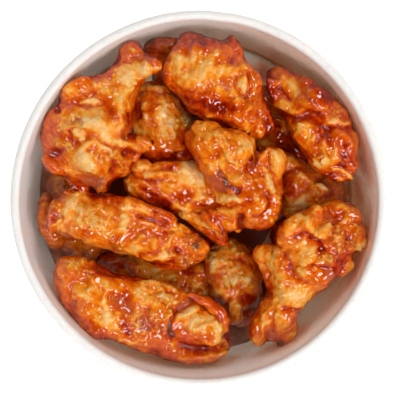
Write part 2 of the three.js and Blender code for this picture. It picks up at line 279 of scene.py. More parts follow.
# ---------------------------------------------------------------- materials
class Shader:
    """A material's node tree, with short calls for the nodes that the finishes use."""

    def __init__(self, name):
        self.material = bpy.data.materials.new(name)
        self.material.use_nodes = True
        self.tree = self.material.node_tree
        self.surface = self.tree.nodes["Principled BSDF"]
        self.place = self.node("ShaderNodeTexCoord").outputs["Object"]

    def node(self, kind, **values):
        """A node with some of its properties set."""
        made = self.tree.nodes.new(kind)
        for key, value in values.items():
            setattr(made, key, value)
        return made

    def feed(self, socket, value):
        """Links an output to a socket, or sets a plain value on it."""
        if isinstance(value, bpy.types.NodeSocket):
            self.tree.links.new(value, socket)
        else:
            socket.default_value = value

    def dress(self, values):
        """Feeds the surface's sockets by name."""
        for name, value in values.items():
            self.feed(self.surface.inputs[name], value)

    def sum(self, operation, *values):
        """A Math node."""
        made = self.node("ShaderNodeMath", operation=operation)
        for socket, value in zip(made.inputs, values):
            self.feed(socket, value)
        return made.outputs[0]

    def blend(self, share, low, high):
        """A colour between two, by share. They are the node's sockets 6 and 7 and its output 2."""
        made = self.node("ShaderNodeMix", data_type="RGBA")
        self.feed(made.inputs[0], share)
        self.feed(made.inputs[6], low)
        self.feed(made.inputs[7], high)
        return made.outputs[2]

    def between(self, value, low, high, to_low=0.0, to_high=1.0, kind="SMOOTHSTEP"):
        """A rise from to_low to to_high as value goes from low to high."""
        made = self.node("ShaderNodeMapRange", interpolation_type=kind)
        for socket, part in zip(made.inputs, (value, low, high, to_low, to_high)):
            self.feed(socket, part)
        return made.outputs[0]

    def scale_of(self, share, *stops):
        """A colour from a scale of (place, colour) stops."""
        made = self.node("ShaderNodeValToRGB")
        elements = made.color_ramp.elements
        places, colours = zip(*stops)
        while len(elements) < len(stops):
            elements.new(0.5)
        for element, place in zip(elements, places):
            element.position = place
        for element, rgb in zip(elements, colours):
            element.color = rgba(rgb)
        self.feed(made.inputs[0], share)
        return made.outputs[0]

    def clouds(self, per_metre, detail=3.0, rough=0.55):
        """Noise from 0 to 1 in the object's own space."""
        made = self.node("ShaderNodeTexNoise")
        self.feed(made.inputs["Vector"], self.place)
        made.inputs["Scale"].default_value = per_metre
        made.inputs["Detail"].default_value = detail
        made.inputs["Roughness"].default_value = rough
        return made.outputs["Fac"]

    def unevenness(self, strength, *clouds):
        """Clouds about 0, over a span of strength."""
        return self.sum("MULTIPLY", self.sum("SUBTRACT", self.clouds(*clouds), 0.5), strength)

    def attribute(self, name):
        """A number stored at the mesh's vertices."""
        return self.node("ShaderNodeAttribute", attribute_name=name).outputs["Fac"]

    def bump(self, height, distance, strength=1.0):
        """Relief finer than the mesh."""
        made = self.node("ShaderNodeBump")
        made.inputs["Distance"].default_value = distance
        made.inputs["Strength"].default_value = strength
        self.feed(made.inputs["Height"], height)
        self.feed(self.surface.inputs["Normal"], made.outputs[0])


def rgba(rgb):
    """A colour with full alpha."""
    return (*rgb, 1.0)


def paper_material(settings):
    """Coated white board with a faint fibre mottle and a soft satin shine. The mesh's own numbers
    tell where it is uncoated, in a grey that paints shade on the outer wall, soaked with grease,
    oily or under spilt sauce, and where shade is painted on it. A stain of 1 is fully soaked, and
    above that it turns to the colour of sauce, as painted shade."""
    shader = Shader("coated_board")
    mottle = shader.clouds(420.0, 4.0, 0.6)
    warm = tuple(c * k for c, k in zip(settings.paper, (0.97, 0.955, 0.93)))
    board = shader.blend(shader.between(mottle, 0.3, 0.7), rgba(warm), rgba(settings.paper))
    # board with no coat, outside and underneath, in a grey that paints shade on the outer wall
    board = shader.blend(shader.attribute("uncoated_and_shaded"), board, rgba(settings.uncoated_and_shaded))
    # grease tint and painted shade, both carried by the one stain number
    stain_and_shade = shader.sum("ADD", shader.attribute("stain_and_shade"), shader.sum("SUBTRACT", mottle, 0.5))
    soaked_and_shaded = shader.between(stain_and_shade, 0.0, 1.0, kind="LINEAR")
    board = shader.blend(soaked_and_shaded, board, rgba(settings.grease_and_shade))
    # painted shade: past 1 the stain darkens to the sauce colour, beside the wings and in the painted
    # shadow spots
    painted_shade_share = shader.between(stain_and_shade, 1.0, 2.6, kind="LINEAR")
    board = shader.blend(painted_shade_share, board, rgba(settings.sauce_and_shade))
    board = shader.blend(shader.attribute("oil"), board, rgba(settings.oil))
    # pools of sauce under the wings, also painted shade in the deep gaps between them
    pool = shader.sum("ADD", shader.attribute("sauce_and_shade"), shader.unevenness(1.6, 90.0))
    board = shader.blend(shader.between(pool, 0.45, 0.6), board, rgba(settings.sauce_and_shade))
    shader.dress({
        "Base Color": board,
        "Roughness": 0.42,
        "Subsurface Weight": 0.85,
        "Subsurface Radius": (1.0, 0.85, 0.75),
        "Subsurface Scale": 1.7 * MM,
        "Specular IOR Level": 0.4,
    })
    shader.bump(shader.clouds(900.0, 4.0, 0.6), 0.05 * MM, 0.5)
    return shader.material


def glaze_material(settings):
    """Sticky glazed skin. The mesh's own numbers tell its tone, from deep sauce at -1.25 to cream
    crests at 1.25, and its crust, bare meat and char. Clouds in the object's space break their
    edges up, and a clear coat, thinner on pale skin, gives the sharp glints."""
    shader = Shader("glazed_chicken")
    broad = shader.unevenness(0.9, 170.0, 3.0, 0.6)
    ragged = shader.sum("ADD", broad, shader.unevenness(1.0, 800.0, 3.0, 0.6))
    crumbly = shader.unevenness(1.6, 420.0, 3.0, 0.7)
    crust = shader.attribute("crust")
    uneven = shader.sum("ADD", shader.attribute("tone"), ragged)
    tone = shader.sum("ADD", uneven, shader.sum("MULTIPLY", crumbly, crust))
    skin = shader.scale_of(
        shader.between(tone, -1.25, 1.25, kind="LINEAR"),
        (0.0, settings.deep),
        (0.14, settings.dark),
        (0.30, settings.sauce),
        (0.50, settings.orange),
        (0.64, settings.gold),
        (0.78, settings.pale),
        (0.94, settings.cream),
    )
    bare = shader.between(shader.sum("ADD", shader.attribute("meat"), ragged), 0.35, 0.85)
    skin = shader.blend(bare, skin, rgba(settings.meat))
    patchy = shader.sum("ADD", shader.sum("ADD", shader.attribute("char"), ragged), crumbly)
    skin = shader.blend(shader.between(patchy, 0.4, 1.1), skin, rgba(settings.char))
    film = shader.between(tone, -0.1, 0.75, 1.0, 0.4)
    shader.dress({
        "Base Color": skin,
        "Roughness": shader.between(tone, -0.8, 0.9, 0.35, 0.55),
        "Specular IOR Level": 0.0,
        "Subsurface Weight": 0.22,
        "Subsurface Radius": (1.0, 0.3, 0.1),
        "Subsurface Scale": 2.0 * MM,
        "Coat Weight": shader.sum("MULTIPLY", film, shader.attribute("gloss")),
        "Coat Roughness": 0.05,
        "Coat IOR": 1.7,
    })
    crusty = shader.between(crust, 0.0, 1.0, 0.6, 1.6)
    relief = shader.sum("MULTIPLY", shader.clouds(520.0, 3.0, 0.6), crusty)
    skin_shows = shader.between(tone, -0.5, 0.4, 0.35, 1.0)
    shader.bump(shader.sum("MULTIPLY", relief, skin_shows), 1.4 * MM, 1.0)
    return shader.material


# ---------------------------------------------------------------- the bowl
def surface_of(rows, closed=True):
    """A grid of points as a mesh of quads. Rows join round, and so do columns when closed. The
    points that meet at a pole are merged."""
    count, size = rows.shape[:2]
    row, column = np.meshgrid(np.arange(count), np.arange(size if closed else size - 1), indexing="ij")
    next_row = (row + 1) % count
    next_column = (column + 1) % size
    corners = [(row, column), (next_row, column), (next_row, next_column), (row, next_column)]
    quads = np.stack([r * size + c for r, c in corners], axis=2).reshape(-1, 4)
    mesh = bpy.data.meshes.new("surface")
    mesh.from_pydata(rows.reshape(-1, 3).tolist(), [], quads.tolist())
    work = bmesh.new()
    work.from_mesh(mesh)
    bmesh.ops.remove_doubles(work, verts=work.verts, dist=1e-6)
    work.to_mesh(mesh)
    work.free()
    return mesh


def turned(profile, sides, closed=True):
    """A surface of revolution: each [radius, height] of the profile is carried round the Z axis in
    equal steps. A profile that runs anticlockwise faces out."""
    radius, height = np.array(profile, float).T
    turn = np.linspace(0, 2 * np.pi, sides, endpoint=False)[:, None]
    level = np.broadcast_to(height, (sides, len(radius)))
    return surface_of(np.stack([radius * np.cos(turn), radius * np.sin(turn), level], 2), closed)


def stretch(start, end, steps):
    """Evenly spaced points from start up to, but not including, end."""
    share = np.linspace(0, 1, steps, endpoint=False)[:, None]
    return (np.array(start) * (1 - share) + np.array(end) * share).tolist()


def arc(centre, radius, start, end, steps):
    """Points on an arc of a circle, from one angle to another in degrees."""
    angle = np.radians(np.linspace(start, end, steps))
    return np.stack([centre[0] + radius * np.cos(angle), centre[1] + radius * np.sin(angle)], 1).tolist()


def wall_radius(settings, height):
    """Outer radius of the cone-shaped wall at a height."""
    top = RIM_TOP - settings.roll / 2
    under_roll = RIM_RADIUS - settings.roll + settings.board
    return settings.foot + (under_roll - settings.foot) * height / top


def wall_profile(settings):
    """The wall's section: up the outside, round the rolled rim, down the inside and round the fold
    that holds the base's skirt between two gaps."""
    board = settings.board
    roll = settings.roll / 2
    centre = (RIM_RADIUS - roll, RIM_TOP - roll)
    fold = 3 * board + 2 * GAP
    fold_top = FLOOR_TOP - board - 2 * GAP
    bend = board * 0.8
    profile = [[settings.foot - bend, 0], [settings.foot - bend * 0.3, bend * 0.3]]
    foot = [wall_radius(settings, bend), bend]
    neck = [wall_radius(settings, centre[1] - roll * 1.2), centre[1] - roll * 1.2]
    profile += stretch(foot, neck, 24)
    profile += arc(centre, roll, 232, 540, 26)
    lip = [centre[0] - roll, centre[1]]
    inner_foot = [wall_radius(settings, board) - board, board]
    profile += stretch(lip, inner_foot, 26)[1:]
    profile += [inner_foot, [settings.foot + board - fold, board]]
    inner_top = wall_radius(settings, fold_top)
    profile += [[inner_top + board - fold, fold_top], [inner_top - fold, fold_top]]
    profile += [[settings.foot - fold, 0]]
    return profile


def base_profile(settings):
    """The base disc's section, turned down at its edge into a skirt."""
    under = FLOOR_TOP - settings.board
    clear = settings.board + GAP
    corner = wall_radius(settings, FLOOR_TOP) - clear
    foot = wall_radius(settings, clear) - clear
    profile = [[0, under], [wall_radius(settings, under) - clear - settings.board, under]]
    profile += [[foot - settings.board, clear], [foot, clear], [corner, FLOOR_TOP - 0.4 * MM]]
    return profile + stretch([corner - 0.5 * MM, FLOOR_TOP], [0, FLOOR_TOP], 40) + [[0, FLOOR_TOP]]


def around(points):
    """The angle of points round the bowl's axis, and their distance from it."""
    return np.arctan2(points[:, 1], points[:, 0]), np.hypot(points[:, 0], points[:, 1])


def towards(angle, side, low, high):
    """1 on the side of the bowl at an angle, and less away from it, by a ramp of the cosine."""
    return ramp(np.cos(angle - side), low, high)


def shape_wall(wall, settings):
    """Steps the wall in where it laps at its side seam, and waves it slightly towards the rim."""
    points = positions_of(wall)
    height = points[:, 2]
    angle, far = around(points)
    along = ((angle - settings.seam_angle + np.pi) % (2 * np.pi) - np.pi) * far
    step = ramp(along, -1.2 * MM, 0.2 * MM) * (1 - ramp(along, 7 * MM, 9 * MM))
    waves = 0.12 * MM * np.sin(3 * angle + 1) + 0.08 * MM * np.sin(7 * angle)
    bulge = step * 0.25 * MM * ramp(height, 4 * MM, 10 * MM) + waves * ramp(height, 8 * MM, RIM_TOP)
    points[:, :2] *= 1 - (np.maximum(bulge, far - RIM_RADIUS) / far)[:, None]
    set_positions(wall, points)


def wing_trees():
    """Each wing's solid as a tree that finds its nearest point."""
    trees = []
    for name in WINGS:
        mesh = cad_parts[name].data
        corners = [tuple(polygon.vertices) for polygon in mesh.polygons]
        trees.append(BVHTree.FromPolygons(positions_of(mesh).tolist(), corners))
    return trees


def gaps_to_wings(points, trees):
    """Distance of points from the nearest wing's solid."""
    gaps = [[tree.find_nearest(point)[3] for tree in trees] for point in points.tolist()]
    return np.min(gaps, axis=1)


def stain_and_shade_wall(wall, settings, trees):
    """The wall's numbers: no coat outside below the roll, and inside a grease tint that also paints
    shade: it creeps up from the foot and is most on the right, which the light leaves in shade,
    with some more at the back, and painted contact shadow next to the wings. Two runs of oil go
    down at its foot."""
    points = positions_of(wall)
    height = points[:, 2]
    angle, far = around(points)
    inner = wall_radius(settings, height) - GAP
    inside = (far < inner) & (height < RIM_TOP - settings.roll)
    below_roll = 1 - ramp(height, 0.86 * RIM_TOP, 0.93 * RIM_TOP)
    set_attribute(wall, "uncoated_and_shaded", (far > inner) * below_roll)

    # grease tint that creeps up from the foot, most of it on the right: grease and painted shade of the
    # low and right side of the wall
    soaked_and_shaded = 0.02 + (0.06 + 0.19 * towards(angle, 0.1, -0.7, 0.9)) * (
        1 - ramp(height, FLOOR_TOP, 0.9 * RIM_TOP)
    )
    # more on the right, painted shade of the side that faces away from the light, and some at the back
    soaked_and_shaded += 0.34 * towards(angle, 0.25, 0.0, 0.9) + 0.22 * towards(angle, 1.5, 0.4, 0.95)
    gaps = gaps_to_wings(points, trees)
    # painted contact shadow next to the wings, wide on the right and in front
    soaked_and_shaded += 0.7 * bell(gaps, 7 * MM) * towards(angle, -0.9, -0.4, 0.5)
    # and narrow on the left
    soaked_and_shaded += 0.5 * bell(gaps, 3 * MM) * towards(angle, 3.0, 0.4, 0.9)
    set_attribute(wall, "stain_and_shade", np.where(inside, soaked_and_shaded, 0.0))
    set_attribute(wall, "sauce_and_shade", np.full(len(points), -1.0))

    runs = towards(angle, 0, 0.988, 0.997) + towards(angle, 1.16, 0.975, 0.99)
    low = bell(height - FLOOR_TOP - 1.2 * MM, 1.8 * MM)
    set_attribute(wall, "oil", np.where(inside, runs * low, 0.0))


# On the base, as x and y in mm: spots of painted shadow cast by the wings, with their reach in
# mm and strength, and round pools of sauce, which also paint the shade in the deep gaps under
# the wings, with their radius in mm.
PAINTED_SHADOW_SPOTS = ((50, -44, 13, 0.9), (20, -66, 12, 0.7), (31, 57, 5, 1.2))
SAUCE_AND_SHADE_POOLS = ((-5, 5, 45), (28, -38, 10))


def stain_and_shade_base(base, trees):
    """The base's numbers: grease on its top, and painted shade on it in front, near the wings and
    in painted shadow spots, and pools of sauce under the wings that also paint the shade in the
    deep gaps. Below its top it has no coat."""
    points = positions_of(base)
    x, y = points[:, :2].T / MM
    on_top = points[:, 2] > FLOOR_TOP - 0.1 * MM
    set_attribute(base, "uncoated_and_shaded", np.where(on_top, 0.0, 1.0))

    gaps = gaps_to_wings(points, trees)
    # painted shade near the wings and in front, laid on the grease stain; past 1 it turns to the sauce
    # colour
    near = 0.8 * bell(gaps, 13 * MM) + 1.3 * bell(gaps, 6 * MM)
    soaked_and_shaded = 0.3 + (0.4 + near) * (1 - ramp(y, 10, 20))
    # painted shadow spots cast by the wings
    for spot_x, spot_y, reach, amount in PAINTED_SHADOW_SPOTS:
        soaked_and_shaded += amount * bell(np.hypot(x - spot_x, y - spot_y), reach)
    set_attribute(base, "stain_and_shade", np.where(on_top, soaked_and_shaded, 0.0))

    # pools of sauce, also painted shade in the deep gaps under the wings
    depth = [radius - np.hypot(x - pool_x, y - pool_y) for pool_x, pool_y, radius in SAUCE_AND_SHADE_POOLS]
    set_attribute(base, "sauce_and_shade", np.where(on_top, ramp(np.max(depth, 0), -2, 2), -1.0))


def make_bowl(settings):
    """The wall with its side seam, and the base disc with its skirt."""
    material = paper_material(settings)
    trees = wing_trees()
    wall = turned(wall_profile(settings), 256)
    shape_wall(wall, settings)
    stain_and_shade_wall(wall, settings, trees)
    new_piece("paper_wall", wall, material, ["bowl_wall"])
    base = turned(base_profile(settings), 128, closed=False)
    stain_and_shade_base(base, trees)
    new_piece("paper_base", base, material, ["bowl_base"])


# ---------------------------------------------------------------- marks on the skin
# A mark is a stroke on the skin as seen from above, with its path in mm from the bowl's axis.
Mark = namedtuple("Mark", "kind width amount path")


def ridge(width, height, *path):
    """A soft ridge along a path, or a groove where the height is below 0."""
    return Mark("ridge", width, height, path)


def crease(width, depth, *path):
    """A sharp fold cut along a path."""
    return Mark("crease", width, depth, path)


def lap(width, height, *path):
    """A lap of skin: it stands up steeply from its path and dies out on the path's left."""
    return Mark("lap", width, height, path)


def beads(size, *places):
    """Small round blobs of glaze, one at each place."""
    return Mark("bead", size, size, places)


def paint(width, tone, *path):
    """Skin that is paler (above 0) or more sauced (below 0) along a path. Some of these marks
    paint light and shade: dark ones are painted shade in gaps, pits, notches and under flaps, and
    pale ones lift skin out of shade or are painted highlights.
    """
    return Mark("tone", width, tone, path)


def crust(width, amount, *path):
    """Crumbly fried skin along a path."""
    return Mark("crust", width, amount, path)


def meat(width, amount, *path):
    """Bare browned meat or bone along a path."""
    return Mark("meat", width, amount, path)


def char(width, amount, *path):
    """A burnt streak along a path."""
    return Mark("char", width, amount, path)


# For each wing: the level, in mm, of the plane on which its marks are placed, how pale it is on
# the whole (below 0 it is more sauced), and the way that its skin's fine streaks run in plan, in
# degrees.
Wing = namedtuple("Wing", "level paleness streaks")
PLAIN = -0.05
LOOKS = {
    "drumette_back_left": Wing(50, PLAIN, -40),
    "flat_back": Wing(50, PLAIN, 70),
    "drumette_back_right": Wing(48, -0.22, -50),
    "drumette_inner_back": Wing(50, PLAIN, -75),
    "drumette_centre": Wing(55, PLAIN, -60),
    "drumette_front_right": Wing(50, PLAIN, 45),
    "flat_front_left": Wing(45, PLAIN, -25),
    "flat_left": Wing(45, PLAIN, -25),
    "flat_centre_left": Wing(42, PLAIN, -20),
    "drumette_front": Wing(28, -0.06, -70),
    "flat_right": Wing(30, -0.14, 0),
    "flat_under_front_left": Wing(22, 0.02, 0),
    "drumette_under_left": Wing(45, -0.02, 0),
    "drumette_under_back": Wing(50, -0.15, 0),
    "flat_under_back_right": Wing(48, -0.35, 0),
    "flat_under_right": Wing(50, -0.50, 0),
}

# Strips of loose skin and meat added to a piece: a radius and a path in mm.
LIMBS = {
    "drumette_back_left": (
        (3.4, (-57, 51, 51), (-50, 52, 50), (-44, 52.5, 50), (-39, 54, 51)),
        (3.2, (-66.6, 32, 49), (-66.8, 25, 48), (-65.6, 18, 47)),
    ),
    "drumette_centre": (
        (3.4, (1, -5, 50.5), (8, -9.4, 50.5), (15, -14.6, 49)),
        (4.0, (25, 20, 56), (30, 20, 55), (33, 18, 55)),
        (3.0, (10, 30.8, 56), (5, 31.6, 55.4), (0, 31.2, 54.5), (-2.6, 29.6, 54)),
        (3.4, (20, 24.6, 56), (26, 22, 54)),
    ),
    "flat_centre_left": ((3.0, (-28.8, 12, 44), (-27.6, 14.4, 44), (-22, 14.6, 42)),),
    "drumette_back_right": (
        (4.2, (33, 43, 45), (31.8, 48, 45), (32.2, 54, 45.5)),
        (4.0, (62, 11, 45), (57, 12.4, 45), (53.6, 15.5, 45), (52.8, 20, 46)),
        (3.2, (45, 51.6, 46), (50.5, 47.4, 49), (55.5, 43.6, 50)),
        (4.0, (56, 42.6, 50), (60.5, 39.5, 50), (64.5, 36, 51)),
    ),
    "flat_under_back_right": (
        (4.6, (42, 24, 26), (46, 20, 27), (50, 15.5, 27), (53, 12, 27)),
        (4.6, (39, 27, 26), (33, 26.6, 25), (26.5, 24.4, 24)),
    ),
    "drumette_under_back": ((4.6, (-24, 64, 34), (-16, 68, 36), (-8, 68, 36)),),
    "drumette_front": ((4.8, (22, -25, 27), (25.2, -33, 26.5), (25.4, -40, 26), (22.6, -48, 25)),),
    "drumette_front_right": (
        (2.2, (28.6, -63, 42), (32.6, -65.2, 42), (36, -63.6, 42)),
        (3.6, (25.6, -22.4, 47), (30, -25, 46), (30.8, -31, 45), (33.4, -37, 45.5), (35, -43, 46)),
    ),
    "drumette_under_left": (
        (3.8, (-67, 3, 30), (-69, -5, 33), (-68.4, -11, 33), (-66, -17, 32), (-62, -22, 29)),
    ),
    "flat_back": (
        (2.4, (17, 67, 46), (15.4, 70, 46.5), (13.4, 72.6, 47)),
        (3.2, (-10, 69, 46), (-5, 71, 47.5), (0.5, 71, 48), (4, 69.6, 48)),
    ),
    "flat_right": ((6.0, (46, 4, 36), (43, -2, 34), (42, -7, 31)),),
    "flat_left": (
        (3.2, (-40, 0, 49), (-32, -1.6, 50.5), (-24, -4.4, 50.5), (-16, -8, 50), (-9, -12.6, 49)),
    ),
    "flat_front_left": (
        (2.4, (-6, -42, 48), (4, -46, 46), (10, -51, 45), (13, -58, 43)),
        (2.4, (-15, -68, 45), (-4, -70.6, 44), (6, -70.6, 43), (13, -67.6, 42)),
    ),
}

# Edges of pieces as the eye sees them, in mm on one level plane. The piece lies on the left of each
# path, and what sticks out on its right is drawn in.
EDGE_LEVEL = 50
EDGES = {
    "drumette_back_left": (
        ((-19, 55), (-17.2, 56.8), (-16.4, 59), (-18.6, 61.4), (-23, 64), (-25.6, 66), (-26.8, 68.8),
         (-30.4, 69.2), (-32.8, 68.5), (-34.9, 65.6), (-36, 62.5), (-37.7, 59.7), (-39.3, 57.5),
         (-42, 55.4), (-44.9, 54.7), (-47.7, 55.2), (-52.7, 54.2), (-57, 52), (-60.2, 49.7),
         (-61.4, 45.5), (-63, 42.4), (-66.5, 38.6), (-70.4, 32.5), (-71.2, 28.6), (-70, 22),
         (-68.4, 18), (-67.2, 15), (-66, 12), (-62.5, 10.6), (-58, 8.6), (-52.7, 7), (-47, 4.6),
         (-43.8, 3.4), (-40.5, 3.9), (-38.6, 6.4), (-36, 8.8), (-32.4, 10), (-29.8, 12.4), (-28, 16),
         (-26, 19.2), (-22.7, 21.2), (-20.2, 23.6), (-19.8, 25.4), (-21.6, 26.6), (-26, 27.4)),
    ),
    "flat_back": (
        ((24, 28.4), (27.8, 26.4), (30.6, 27.4), (32.4, 30), (33.3, 33.2), (32.7, 37), (31.4, 40.4),
         (29.8, 43.2), (28.2, 46.4), (27.4, 50), (26.9, 54.6), (25.5, 57.5), (23.3, 59.8), (21.7, 62),
         (20.3, 64.4), (18.9, 67), (17, 70.4), (14.6, 73.6), (13.2, 74.3), (12, 72.6), (10, 71.2),
         (6, 71.6), (3, 72.6), (0, 74), (-4, 74.3), (-7.6, 73.6), (-9.4, 70.8), (-11, 67.6),
         (-12.1, 64.7), (-14, 62.3), (-15.6, 58.6), (-16, 54.2), (-14.4, 50.6), (-12, 47.4),
         (-8.2, 44.6), (-6.4, 41.6), (-3.2, 39.4)),
    ),
    "drumette_back_right": (
        ((33, 58.6), (30.6, 57), (29.9, 54), (30.1, 51), (30.8, 48), (32.4, 44.6), (34.2, 40.4),
         (36.6, 37), (38.8, 34.8), (40.5, 31), (41.6, 27.6), (43.8, 26), (46, 22), (48.6, 18),
         (49.6, 15.4), (51, 13.2), (53.4, 10.6), (57, 8.6), (61, 7.4), (64.6, 7.6), (67.4, 9),
         (68, 10.6), (69.4, 12.8), (70.8, 15.6), (71.1, 18), (70.6, 21), (71.1, 24.8), (70, 28.7),
         (68.3, 31.6), (67.7, 34.8), (66.6, 38.2), (64.4, 41), (61.4, 43.4), (57.9, 46.6),
         (54.9, 48.8), (50.4, 51), (47.1, 53.7), (44.4, 56.4), (41.6, 58.2), (38.3, 58.6), (34.4, 58.8)),
    ),
    "drumette_centre": (
        ((18, -13.4), (22, -12.6), (28, -13), (31, -11.8), (33.8, -8.8), (35.2, -6.2), (36.1, -3.6),
         (36.4, 0), (36.8, 3.6), (37, 7), (38, 10), (39, 13), (39.8, 16.4), (38.9, 19.4), (37, 21.6),
         (35, 22.7), (31.6, 22.2)),
    ),
    "drumette_front_right": (
        ((24.6, -51), (22.4, -55.4), (22, -58.4), (23.3, -61.4), (25, -63.6), (27.4, -63.6)),
        ((36, -64.4), (40, -62.9), (42.2, -60.8), (43.2, -58.4), (43.9, -53), (45.5, -49.6),
         (46.2, -47.3), (48.8, -44.6), (51, -42.4), (55, -40.2), (58.8, -36.9), (61, -34.2),
         (64.3, -33.6), (67.7, -31.2), (69, -28), (69, -25), (70.6, -23.4), (74, -21)),
    ),
    "drumette_front": (((13, -55), (16, -56.4), (20, -56.8), (22.4, -54)),),
    "flat_left": (
        ((-62, 2), (-65.4, -0.6), (-66.8, -4), (-67, -8), (-66.8, -12), (-65.8, -15.2), (-63.6, -16.8),
         (-60, -17.6)),
        ((-8, -31.6), (-4, -30.2), (-1, -28.2), (2.2, -27), (4.6, -24.8), (5.2, -21.6), (4, -18.6),
         (1, -16), (-3, -14)),
    ),
    "flat_front_left": (
        ((-46, -62.4), (-39, -62.6), (-34, -63.8), (-30, -65.6), (-26, -67.2), (-21, -69),
         (-16, -71.6), (-10, -73.4), (-3, -73.6)),
    ),
}
